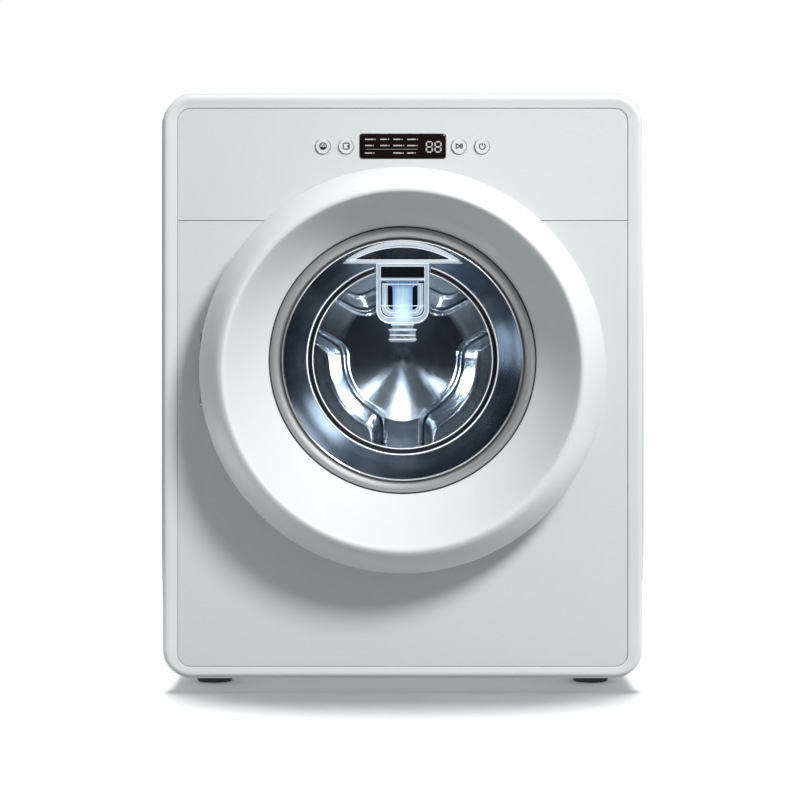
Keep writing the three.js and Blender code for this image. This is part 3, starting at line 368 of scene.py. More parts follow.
recipes = {
    "white_paint": (coated, (0.79, 0.80, 0.805), 0.38, 0.15, (700, 0.00012)),
    "panel_paint": (coated, (0.72, 0.745, 0.75), 0.42, 0.05, (900, 0.00005), 0.008),
    "frame_gloss": (coated, (0.80, 0.82, 0.825), 0.3, 0.4, (220, 0.00001), 0.01),
    "door_gloss": (coated, (0.83, 0.845, 0.85), 0.42, 0.12, (600, 0.00003), 0.008),
    "satin_trim": (ringed_metal, (0.36, 0.37, 0.375), 0.56, 0.0006, 0.00002, 0.85, 500),
    "bright_bead": (ringed_metal, (0.93, 0.95, 0.97), 0.16, 0.0004, 0.000006, 0.9, 300),
    # painted highlight: a near-white finish that glows, for thin lines and beads that stand in for
    # glints on glass and clear plastic
    "bright_edge": (coated, (0.88, 0.93, 0.97), 0.12, 0.6, (400, 0.00005), 0.05,
                    (rgb(0.9, 0.95, 1.0), 0.62)),
    # painted shade: a near-black finish for the dark line drawn round the glass bowl's floor
    "dark_line": (coated, (0.008, 0.010, 0.013), 0.3, 0.0, (900, 0.00003), 0.2),
    "bowl_glass": (bowl_glass,),
    # the clear finishes turn white at grazing edges and glow: painted highlight
    "clear_plastic": (clear_plastic, rgb(0.84, 0.90, 0.95), 0.2, 1.0, 0.16),
    "white_clear": (clear_plastic, rgb(0.84, 0.90, 0.95), 0.5, 1.0, 0.3),
    "nozzle_plastic": (clear_plastic, rgb(0.90, 0.94, 0.97), 0.04, 0.75, 0.1),
    # painted shade: a near-black tint for plates behind the tray and chute, where the dark drum
    # shows through
    "smoked_plastic": (clear_plastic, rgb(0.03, 0.045, 0.06), 0.02, 0.3),
    "blue_guide": (lit_guide,),
    # drum_steel's base colour is darkened to a navy grey: painted shade for the dark inside of the
    # drum
    "drum_steel": (ringed_metal, (0.28, 0.335, 0.39), 0.19, 0.0011, 0.000042, 0.8, 160),
    "shell_steel": (plain_metal, (0.52, 0.56, 0.60), 0.24, 30, (1, 6, 1)),
    "plain_steel": (plain_metal, (0.60, 0.61, 0.62), 0.34),
    "cast_alloy": (cast_metal, (0.52, 0.53, 0.54)),
    "inner_plastic": (coated, (0.60, 0.62, 0.63), 0.5, 0, (1200, 0.0001), 0.03),
    "dark_plastic": (coated, (0.035, 0.037, 0.04), 0.5, 0, (1300, 0.00012), 0.15),
    "display": (dark_screen,),
    "display_mark": (coated, (0.42, 0.42, 0.43), 0.5, 0, (2000, 0.00001), 0.1,
                     (rgb(0.8, 0.82, 0.85), 0.12)),
    "button_white": (coated, (0.76, 0.78, 0.785), 0.36, 0.1, (1500, 0.00003), 0.01),
    # painted shade: grey arcs at left and right of each button, for the shaded gap round the cap
    "ring_grey": (coated, (0.20, 0.21, 0.22), 0.5, 0, (2000, 0.00001), 0.1),
    "icon_ink": (coated, (0.012, 0.013, 0.015), 0.6, 0, (2400, 0.00001), 0.2),
    "board": (circuit,),
    "grey_rubber": (rough_rubber, rgb(0.16, 0.165, 0.17), 0.6),
    "black_rubber": (rough_rubber, rgb(0.022, 0.022, 0.023)),
    "concrete": (aggregate,),
}
finishes = {name: make(name, *values) for name, (make, *values) in recipes.items()}

for node in nodes.values():
    for place in node.material_slots:
        place.material = finishes[place.material.name.split(".")[0]]


# --- shape building ---------------------------------------------------------------------


def grid(points, loop_u=True, loop_v=True):
    """Quads over a (u, v, 3) array of points; a looped way joins its last row to its first."""
    rows, columns = points.shape[:2]
    index = np.arange(rows * columns).reshape(rows, columns)
    u = np.arange(rows if loop_u else rows - 1)[:, None]
    v = np.arange(columns if loop_v else columns - 1)[None, :]
    u2, v2 = (u + 1) % rows, (v + 1) % columns
    quads = np.stack([index[u, v], index[u2, v], index[u2, v2], index[u, v2]], -1)
    return points.reshape(-1, 3), quads.reshape(-1, 4).tolist()


def eased(outline, radius, steps=4):
    """Corners rounded off: each becomes a parabola that starts and ends up to radius away,
    (1-t)^2 a + 2t(1-t) corner + t^2 b, and never past 45% of its shorter edge."""
    corner = np.asarray(outline, float)
    radius = np.broadcast_to(np.asarray(radius, float), len(corner))[:, None]
    before, after = np.roll(corner, 1, 0) - corner, np.roll(corner, -1, 0) - corner

    def reach(edge):
        length = np.linalg.norm(edge, axis=1, keepdims=True) + 1e-12
        return edge / length * np.minimum(radius, length * 0.45)

    start, stop = (corner + reach(before))[:, None], (corner + reach(after))[:, None]
    t = np.linspace(0, 1, steps)[None, :, None]
    bent = (1 - t) ** 2 * start + 2 * t * (1 - t) * corner[:, None] + t**2 * stop
    return bent.reshape(-1, corner.shape[1])


def turned(outline, centre, sides):
    """An outline of (radius, depth) or (radius, depth, lift) turned about a front-to-back
    line: x = cx + r sin a, depth, z = cz + lift + r cos a."""
    outline = np.asarray(outline, float)
    angle = np.arange(sides)[:, None] / sides * TURN
    radius, depth = outline[None, :, 0], outline[None, :, 1] + 0 * angle
    lift = outline[None, :, 2] if outline.shape[1] > 2 else 0
    x, z = centre[0] + radius * np.sin(angle), centre[1] + lift + radius * np.cos(angle)
    return grid(np.stack([x, depth, z], -1))


def bead_section(radius, depth, reach, count):
    """A small round section of (radius, depth), reach wide either way."""
    angle = np.linspace(0, TURN, count, endpoint=False)
    return np.stack([radius + reach * np.cos(angle), depth + reach * np.sin(angle)], -1)


def part_turned(outline, start, stop, steps=180):
    """An outline of (radius, depth) turned about the drum's line between two clock angles in
    degrees, its ends closed to a point at the outline's middle."""
    outline = np.asarray(outline, float)
    angle = np.radians(np.linspace(start, stop, steps))
    angle = np.concatenate([angle[:1], angle, angle[-1:]])[:, None]
    share = np.concatenate([[0], np.ones(steps), [0]])[:, None]
    centre = outline.mean(0)
    radius = centre[0] + share * (outline[None, :, 0] - centre[0])
    depth = centre[1] + share * (outline[None, :, 1] - centre[1])
    x, z = radius * np.sin(angle), DRUM_Z + radius * np.cos(angle)
    return grid(np.stack([x, depth, z], -1), False, True)


def upright(outline, centre, sides=48):
    """An outline of (radius, height) turned about a vertical line through (x, depth)."""
    outline = np.asarray(outline, float)
    angle = np.arange(sides)[:, None] / sides * TURN
    radius = outline[None, :, 0]
    x, y = centre[0] + radius * np.cos(angle), centre[1] + radius * np.sin(angle)
    return grid(np.stack([x, y, outline[None, :, 1] + 0 * angle], -1))


def tube(path, radius, sides):
    """A round section carried along a path of points; its ends close to a point.
    Each ring is path + r (cos a * n + sin a * b), where n and b stand square to the path."""
    path = np.asarray(path, float)
    radius = np.broadcast_to(np.asarray(radius, float), len(path))
    along = np.gradient(path, axis=0)
    along /= np.linalg.norm(along, axis=1, keepdims=True)
    side = np.cross(along, (0, 0, 1))
    side /= np.linalg.norm(side, axis=1, keepdims=True)
    over = np.cross(side, along)
    radius = np.concatenate([[0], radius, [0]])
    path, side, over = (np.concatenate([a[:1], a, a[-1:]]) for a in (path, side, over))
    angle = np.arange(sides)[None, :, None] / sides * TURN
    ring = np.cos(angle) * side[:, None] + np.sin(angle) * over[:, None]
    return grid(path[:, None] + radius[:, None, None] * ring, False, True)


def slab(outline, near, far):
    """A flat plate: an outline of (x, z) between two depths."""
    outline = np.asarray(outline, float)
    count = len(outline)
    x, z = outline.T
    points = np.concatenate([np.stack([x, np.full(count, d), z], -1) for d in (near, far)])
    index = np.arange(count)
    after = (index + 1) % count
    sides = np.stack([index, after, after + count, index + count], -1)
    return points, sides.tolist() + [index.tolist(), (index + count)[::-1].tolist()]


def stroke(line, width, near, far, closed=False):
    """A drawn line with square sides: each point of (x, z) pushed half a width either way
    along the normal, at two depths."""
    line = np.asarray(line, float)
    if closed:
        along = np.roll(line, -1, 0) - np.roll(line, 1, 0)
    else:
        along = np.gradient(line, axis=0)
    along /= np.linalg.norm(along, axis=1, keepdims=True)
    out = np.stack([-along[:, 1], along[:, 0]], -1) * width / 2
    ring = np.stack([line + out, line + out, line - out, line - out], 1)
    depth = np.broadcast_to(np.array([near, far, far, near], float), ring.shape[:2])
    points = np.stack([ring[..., 0], depth, ring[..., 1]], -1)
    shape, faces = grid(points, closed, True)
    if not closed:
        last = len(shape)
        faces += [[0, 1, 2, 3], [last - 1, last - 2, last - 3, last - 4]]
    return shape, faces


def arc(centre, radius, start, stop, steps=24):
    """Points of (x, z) round a centre, angles in degrees from straight up, clockwise."""
    angle = np.radians(np.linspace(start, stop, steps))
    return np.stack([centre[0] + radius * np.sin(angle), centre[1] + radius * np.cos(angle)], -1)


def box_loop(half, low, high, radius, steps=10):
    """Rounded rectangles of (x, z), one row for each set of sizes, corners of the same
    number of points: x = ±(half - r) + r cos a, z likewise."""
    half, low, high, radius = (np.asarray(v, float)[:, None] for v in (half, low, high, radius))
    corner = np.repeat(np.arange(4), steps)[None]
    angle = (corner + np.tile(np.linspace(0, 1, steps), 4)[None]) * TURN / 4
    right = np.where((corner == 0) | (corner == 3), 1, -1)
    top = np.where(corner < 2, 1, -1)
    middle_z, tall = (low + high) / 2, (high - low) / 2
    x = right * (half - radius) + radius * np.cos(angle)
    z = middle_z + top * (tall - radius) + radius * np.sin(angle)
    return np.stack([x, z], -1)


def oblong(left, right, low, high):
    """A plain rectangle of (x, z)."""
    return [(left, low), (right, low), (right, high), (left, high)]


def smooth_step(value, low, high):
    """0 below low, 1 above high, and 3t^2 - 2t^3 between them."""
    t = np.clip((value - low) / (high - low), 0, 1)
    return t * t * (3 - 2 * t)


def joined(shapes):
    """Several (points, faces) as one."""
    starts = np.cumsum([0] + [len(points) for points, _ in shapes])
    faces = [[i + start for i in face] for (_, some), start in zip(shapes, starts) for face in some]
    return np.concatenate([points for points, _ in shapes]), faces


def linked(name, data):
    """A new object in the scene."""
    made = bpy.data.objects.new(name, data)
    bpy.context.scene.collection.objects.link(made)
    return made


def meshed(name, points, faces, outwards=True):
    """A mesh of points in metres: doubles merged, and faces turned outwards."""
    mesh = bpy.data.meshes.new(name)
    mesh.from_pydata(points.tolist(), [], faces)
    work = bmesh.new()
    work.from_mesh(mesh)
    bmesh.ops.remove_doubles(work, verts=work.verts, dist=SAME_POINT)
    if outwards:
        bmesh.ops.dissolve_degenerate(work, edges=work.edges, dist=SAME_POINT / 10)
        bmesh.ops.recalc_face_normals(work, faces=work.faces)
    work.to_mesh(mesh)
    work.free()
    return mesh


def piece(name, shapes, body, slot, finish=None, stands_for=(), crease=CREASE):
    """Makes one object from its shapes, smooth up to the crease angle. body is None for a piece
    left unattached to any body."""
    points, faces = joined(shapes if isinstance(shapes, list) else [shapes])
    mesh = meshed(name, points * MM + (0, FACE, 0), faces)
    mesh.shade_smooth()
    mesh.set_sharp_from_angle(angle=math.radians(crease))
    mesh.materials.append(finishes[finish or slot])
    made = linked(name, mesh)
    if body:
        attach(made, body)
    if stands_for:
        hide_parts(*stands_for)
    return made


def cut_away(target, cutters):
    """Takes closed shapes out of a piece."""
    points, faces = joined(cutters)
    mesh = meshed("cutter", points * MM + (0, FACE, 0), faces)
    cutter = linked("cutter", mesh)
    step = target.modifiers.new("cut", "BOOLEAN")
    step.object, step.operation, step.solver = cutter, "DIFFERENCE", "EXACT"
    bpy.context.view_layer.update()
    cut = target.evaluated_get(bpy.context.evaluated_depsgraph_get())
    result = bpy.data.meshes.new_from_object(cut)
    target.modifiers.clear()
    old, target.data = target.data, result
    bpy.data.meshes.remove(old)
    bpy.data.objects.remove(cutter)
    bpy.data.meshes.remove(mesh)
    result.set_sharp_from_angle(angle=math.radians(CREASE))


# --- camera, light and floor ------------------------------------------------------------


def set_camera():
    """Straight ahead of the machine, on a long lens."""
    place, focal, shift = (0, -2.344, 0.309), 107.5, (-0.0033, -0.054)
    lens = bpy.data.cameras.new("camera")
    lens.sensor_width, lens.lens, lens.clip_end = 36, focal, 60
    lens.shift_x, lens.shift_y = shift
    camera = linked("camera", lens)
    camera.location = place
    camera.rotation_euler = (math.radians(90), 0, 0)
    bpy.context.scene.camera = camera


def lamp(name, place, aim, size, power, colour=(1, 1, 1), *, only):
    """A soft round lamp that looks from one place to another and lights only some pieces."""
    light = bpy.data.lights.new(name, "AREA")
    light.shape, light.size, light.energy, light.color = "DISK", size, power, colour
    made = linked(name, light)
    x, y, z = np.array(aim, float) - np.array(place, float)
    made.location = place
    made.rotation_euler = (math.atan2(math.hypot(x, y), -z), 0, math.atan2(-x, y))
    made.visible_camera = False
    group = bpy.data.collections.new(name + "_only")
    for obj in only:
        group.objects.link(obj)
    made.light_linking.receiver_collection = group
    return made


def set_world():
    """White where it is seen. What it casts is a cool grey, brighter from behind the machine;
    what mirrors it finds the room in front dark and the ceiling pale."""
    world = bpy.data.worlds.new("studio")
    bpy.context.scene.world = world
    f = Finish("studio", world)

    def background(colour, strength=1.0):
        return f.node("ShaderNodeBackground", {}, {"Color": colour, "Strength": strength})

    def seen_by(kind):
        return f.node("ShaderNodeLightPath", out=f"Is {kind} Ray")

    _, back, up = f.parts(f.node("ShaderNodeTexCoord", out="Generated"))
    cool, white = rgb(0.92, 0.98, 1.0), rgb(1, 1, 1)
    cast = background(cool, f.between(back, -0.25, 0.4, 0.275, 0.85))
    mirrored = background(cool, f.between(up, 0.1, 0.75, 0.022, 0.75))
    lit = f.mixed(seen_by("Glossy"), cast, mirrored)
    f.done(f.mixed(seen_by("Camera"), lit, background(white)), "ShaderNodeOutputWorld")


def lay_floor():
    """A pale disc under the machine that fades out into the white round it. It takes the
    machine's shadow, and throws no light back up."""
    f = Finish("floor")
    x, y, _ = f.parts(f.place())
    fade = f.between((x * x + y * y) ** 0.5, 0.55, 1.6)
    matt = f.surface(base_color=f.blend(f.noise(3), rgb(0.9, 0.9, 0.9), rgb(0.93, 0.93, 0.93)),
                     roughness=0.8, emission_color=rgb(1, 1, 1), emission_strength=0.02)
    clear = f.node("ShaderNodeBsdfTransparent")
    f.done(f.mixed(fade, matt, clear))
    radius = np.array([0.0, 0.4, 0.9, 1.7])[None, :]
    angle = np.arange(64)[:, None] / 64 * TURN
    shape = np.stack([radius * np.cos(angle), radius * np.sin(angle), 0 * angle * radius], -1)
    mesh = meshed("floor", *grid(shape, True, False), outwards=False)
    mesh.materials.append(f.material)
    made = linked("floor", mesh)
    made.visible_diffuse = False
    return made


set_camera()
set_world()
floor = lay_floor()
bpy.context.scene.view_settings.view_transform = "Standard"


# --- the case ---------------------------------------------------------------------------


def front_bezel():
    """The frame round the front: loops from its back edge, over an elliptical shoulder to a
    low ridge, down a face that slopes in, over a small roll into the opening, then back along
    the inside."""
    (_, _, low), (half, _, high) = span("front_frame")
    bend_radius = 28
    open_half, open_low, open_high, open_radius = 207.5, 23.5, 538, 12
    bend = np.linspace(0, TURN / 4, 12)
    roll = np.linspace(0, TURN / 4, 7)
    outer = [(0, 22), (0, 15)] + list(zip(5.6 * (1 - np.cos(bend)), 9 * (1 - np.sin(bend))))
    outer += [(6.4, 0.02), (7.4, 0.1)]
    inside = [(5.0, 4.6), (3.2, 6.4), (3, 9), (3, 22)]
    loops = [(half - i, low + i, high - i, bend_radius - i, d) for i, d in outer]
    opening = [(-5.2, 0.52), (-2.6, 1.0)]
    opening += list(zip(-1.4 + 1.4 * np.sin(roll), 1.2 + 1.1 * (1 - np.cos(roll))))
    opening += [(0, 3.4), (1.2, 3.6), (1.2, 4.4)]
    loops += [(open_half - g, open_low + g, open_high - g, open_radius - g, d)
              for g, d in opening]
    loops += [(half - i, low + i, high - i, bend_radius - i, d) for i, d in inside]
    sizes = np.array(loops)
    flat = box_loop(*sizes.T[:4])
    depth = np.broadcast_to(sizes[:, 4][:, None], flat.shape[:2])
    shape = grid(np.stack([flat[..., 0], depth, flat[..., 1]], -1))
    piece("front_bezel", shape, "cabinet", "frame_gloss", stands_for=["front_frame"])


def sheet_case(name, node, top):
    """Bent sheet carried front to back: the case outline, split level with the top cover,
    1.2 mm thick, with a shallow pressed field in each side wall."""
    low, high = span(node)
    half, base, crown, bend, gauge = 219.1, 15.4, 548.6, 24.6, 1.2
    front_edge, back_edge, foot_edge, head_edge = (44, 50), (290, 296), (60, 66), (478, 484)
    whole = box_loop([half], [base], [crown], [bend], 14)[0]
    if top:
        tall, near, far = np.linspace(low[2], crown - bend, 3), whole[:14], whole[14:28]
    else:
        tall, near, far = np.linspace(high[2], base + bend, 26), whole[:41:-1], whole[41:27:-1]
    right = np.stack([np.full(len(tall), half), tall], -1)
    line = np.concatenate([right[:-1], near, far, (right * [-1, 1])[::-1][1:]])
    along = np.gradient(line, axis=0)
    along /= np.linalg.norm(along, axis=1, keepdims=True)
    out = np.stack([-along[:, 1], along[:, 0]], -1)
    if np.sum(out[:5, 0]) > 0:
        out = -out
    depth = np.unique(np.concatenate([
        np.linspace(low[1], high[1], 22), np.linspace(*front_edge, 5), np.linspace(*back_edge, 5),
        [low[1] + 0.6, high[1] - 0.6]]))
    up = smooth_step(line[:, 1], *foot_edge) * (1 - smooth_step(line[:, 1], *head_edge))
    back = smooth_step(depth, *front_edge) * (1 - smooth_step(depth, *back_edge))
    press = (0 if top else 0.9) * (back[:, None] * up[None])[..., None]
    skin = line[None] + out[None] * press
    inner = line[None] + out[None] * (gauge + press)
    section = np.concatenate([skin, inner[:, ::-1]], 1)
    depths = np.broadcast_to(depth[:, None], section.shape[:2])
    points, faces = grid(np.stack([section[..., 0], depths, section[..., 1]], -1), False, True)
    count = section.shape[1]
    run = np.arange(count // 2 - 1)
    for start in (0, len(points) - count):
        lip = np.stack([run, run + 1, count - 2 - run, count - 1 - run], -1) + start
        faces += lip.tolist()
    piece(name, (points, faces), "cabinet", "white_paint", stands_for=[node], crease=30)


def rear_screws():
    """Domed screws with a cross recess, round the edge of the rear cover."""
    low, high = span("rear_cover")
    xs = np.array([-205, -70, 70, 205, -205, 205, -205, 205, -205, -70, 70, 205])
    zs = np.array([532, 532, 532, 532, 400, 400, 170, 170, 34, 34, 34, 34])
    back = high[1]
    head = eased([(0, back - 3), (4.2, back - 3), (4.4, back - 0.4), (3.4, back + 1.4),
                  (0, back + 1.7)], [0, 0, 0.3, 1.2, 0])
    shapes = [turned(head, (x, z), 20) for x, z in zip(xs, zs)]
    for x, z in zip(xs, zs):
        shapes += [slab(oblong(x - 2, x + 2, z - 0.4, z + 0.4), back, back + 1.9),
                   slab(oblong(x - 0.4, x + 0.4, z - 2, z + 2), back, back + 1.95)]
    piece("rear_screws", shapes, "cabinet", "plain_steel")


def levelling_feet():
    """Rubber pad, lock nut and threaded stud for each corner, turned about its own line."""
    for corner in FEET:
        body = "levelling_foot_" + corner
        top, spot = span(body)[1][2], middle(body)[:2]
        pad = eased([(0, 0), (15.6, 0), (17, 2), (17, 6.5), (12.5, 9.5), (9, 10.5), (0, 10.5)],
                    [0, 1.2, 1.6, 1.6, 1.5, 0.8, 0])
        ribs = [upright(eased([(16.2, z), (17, z + 0.5), (16.2, z + 1)], 0.2, 3), spot)
                for z in (2.2, 3.8, 5.4)]
        piece(body + "_pad", [upright(pad, spot)] + ribs, body, "black_rubber", stands_for=[body])
        root, crest, pitch = 3.4, 4.0, 1.25
        roots = np.arange(14, top - 0.8, pitch)[:, None]
        thread = (roots * [0, 1, 0, 1] + [root, 0, crest, 0.62]).reshape(-1, 2)
        stud = np.concatenate([[(0, 10), (root, 10)], thread, [(2.6, top), (0, top)]])
        nut = upright([(4.4, 10.6), (7.5, 10.6), (7.5, 13.6), (4.4, 13.6)], spot, 6)
        piece(body + "_stud", [upright(stud, spot, 32), nut], body, "plain_steel")


# --- the door ---------------------------------------------------------------------------


def door_moulding():
    """The door's deep ring: a band that swells out, a soft crest, and a dish that runs in to
    the glass and rises towards the drum's axis (lift), all one wall 2.8 mm thick."""
    outline = [(167, -1.5, 0), (183, -23, 0), (185.4, -27, 0), (184, -32, 0), (176, -47, 0),
               (167.2, -58.7, 0), (162.6, -61.5, 0), (159.9, -60.7, 0.3), (157.2, -57.2, 0.8),
               (146.4, -41.6, 3.6), (135.0, -26.9, 6.6), (124.0, -15.4, 9), (122.2, -13.9, 9),
               (122.2, -10.9, 9), (125.2, -10.9, 9), (125.6, -12.9, 9), (137.2, -24.9, 6.6),
               (148.7, -39.9, 3.6), (159.6, -55.6, 0.8), (161.4, -57.8, 0.3), (163.2, -58.5, 0),
               (165.3, -56.9, 0), (173.6, -45.5, 0), (181.2, -31.3, 0), (182.3, -27.4, 0),
               (180.6, -24.4, 0), (163.6, -1.5, 0)]
    round_off = [0.5, 9, 9, 9, 9, 4, 2, 1.6, 3, 9, 9, 4, 0.8, 0.4, 0.4, 2] + [6] * 10 + [0.5]
    shape = turned(eased(outline, round_off, 6), (0, DOOR_Z), 192)
    ring = piece("door_moulding", shape, "door", "door_gloss", stands_for=["door_ring"])
    hinge_notch = slab(oblong(-188, -157, DOOR_Z - 35, DOOR_Z + 35), -15.5, 2)
    cut_away(ring, [hinge_notch])


def door_inside():
    """The flat ring behind the glass, with its eight screws."""
    outline = [(114.4, -4.3, 10), (121.4, -5.4, 10), (122.6, -7.4, 10), (124, -7.4, 10),
               (127, -4.8, 8), (152, -4.8, 0), (156, -9, 0), (158, -11, 0), (160, -11, 0),
               (163.6, -4.2, 0), (163.6, -1.5, 0), (113.2, -1.5, 10)]
    round_off = [0.6, 1, 1, 0.6, 2, 2, 2, 1, 1, 1, 0.8, 0.8]
    shape = turned(eased(outline, round_off, 5), (0, DOOR_Z), 160)
    piece("door_inner_ring", shape, "door", "inner_plastic", stands_for=["door_back_ring"])
    spots = arc((0, DOOR_Z), 148, 22.5, 337.5, 8)
    screw = eased([(0, -1.7), (2.8, -1.7), (2.8, -1.1), (1.8, -0.6), (0.9, -0.7), (0, -1.2)],
                  0.2, 3)
    piece("door_screws", [turned(screw, spot, 16) for spot in spots], "door", "plain_steel")


def glass_trim():
    """Satin ring in front of the glass, a bright bead inside it and black rubber seals either side,
    whose black also stands in for the shade in the grooves there.
    """
    satin = [(121.2, -15.5), (121.2, -11.9), (112.3, -11.9), (112.3, -13.3), (113.9, -15.0),
             (118.3, -16.5)]
    bead = [(109.1, -11.7), (108.9, -12.8), (109.8, -13.5), (110.7, -12.8), (110.6, -11.7)]
    seal = [(110.5, -11.7), (110.6, -12.7), (112.3, -12.9), (112.4, -11.7)]
    edge = [(121.1, -12.0), (121.1, -14.6), (121.6, -15.0), (122.6, -14.4), (122.4, -12.0)]

    def ring(outline, radius, steps):
        return turned(eased(outline, radius, steps), (0, RING_Z), 192)

    piece("satin_ring", ring(satin, [0.5, 0.3, 0.3, 0.5, 2, 3], 6), "door", "satin_trim",
          stands_for=["glass_trim_ring"])
    piece("bright_bead", ring(bead, 0.6, 5), "door", "satin_trim", "bright_bead")
    piece("trim_seals", [ring(seal, 0.2, 3), ring(edge, 0.2, 3)], "door", "black_rubber")


def glass_bowl():
    """The pressed glass bowl: a flange, a flared wall and a near-flat floor, 4 mm thick, with two
    painted highlight lines (glowing white) and a painted shade line round its floor that stop short
    of the chute."""
    outline = [(120.9, -12.1), (120.9, -8.1), (114.5, -8.1), (111, -0.1), (102.5, 19), (94, 35),
               (89.5, 42), (82.5, 45.4), (69.5, 46), (0, 46), (0, 42), (69.5, 42), (81, 41.4),
               (86.2, 39), (90.1, 33), (98.9, 17), (107.5, -2.1), (111.9, -10.6), (113.5, -12.1)]
    soft = [0.8, 0.6, 2, 6, 9, 6, 5, 5, 8, 0, 0, 8, 5, 4, 5, 9, 7, 2, 0.6]
    piece("glass_bowl", turned(eased(outline, soft, 6), (0, DRUM_Z), 192), "door", "bowl_glass",
          stands_for=["door_glass"])
    beads = [part_turned(bead_section(*sizes, 12), *CHUTE_GAP)
             for sizes in ((89.4, 33.6, 0.6), (84.3, 39.5, 0.5))]
    piece("bowl_edge_lines", beads, "door", "bowl_glass", "bright_edge")
    band = eased([(88.9, 34.4), (84.9, 39.3), (84.6, 38.9), (88.5, 33.9)], 0.2, 3)
    piece("bowl_edge_band", part_turned(band, *CHUTE_GAP), "door", "bowl_glass", "dark_line")


def closed_wall(outer, inner, near, far, lip=0.9):
    """A wall between two outlines of (x, z) with the same number of points, its front and
    back edges rounded over by lip."""
    def at(share, depth):
        flat = outer * (1 - share) + inner * share
        return np.stack([flat[:, 0], np.full(len(flat), depth), flat[:, 1]], -1)

    steps = [(0, near + lip), (0.08, near + 0.25 * lip), (0.3, near), (0.7, near),
             (0.92, near + 0.25 * lip), (1, near + lip), (1, far - lip), (0.8, far), (0.2, far),
             (0, far - lip)]
    return grid(np.stack([at(*step) for step in steps]))


def d_outline(radius, lift, chord):
    """The D of the tray: an arc whose centre is lift above the drum's line, closed by a level
    chord."""
    reach = math.degrees(math.acos((chord - lift) / radius))
    over = arc((0, DRUM_Z + lift), radius, -reach, reach, ARCH_STEPS)
    back = np.linspace(over[-1], over[0], ARCH_STEPS // 2 + 2)[1:-1]
    return np.concatenate([over, back])


def u_outline(half, top, bottom, bend):
    """The U of the chute, closed along its top, with round bottom corners."""
    right = arc((half - bend, DRUM_Z + bottom + bend), bend, 90, 180, 16)
    left = arc((-half + bend, DRUM_Z + bottom + bend), bend, 180, 270, 16)
    top_left, top_right = (-half, DRUM_Z + top), (half, DRUM_Z + top)
    return np.concatenate([[top_right], right, left, [top_left]])


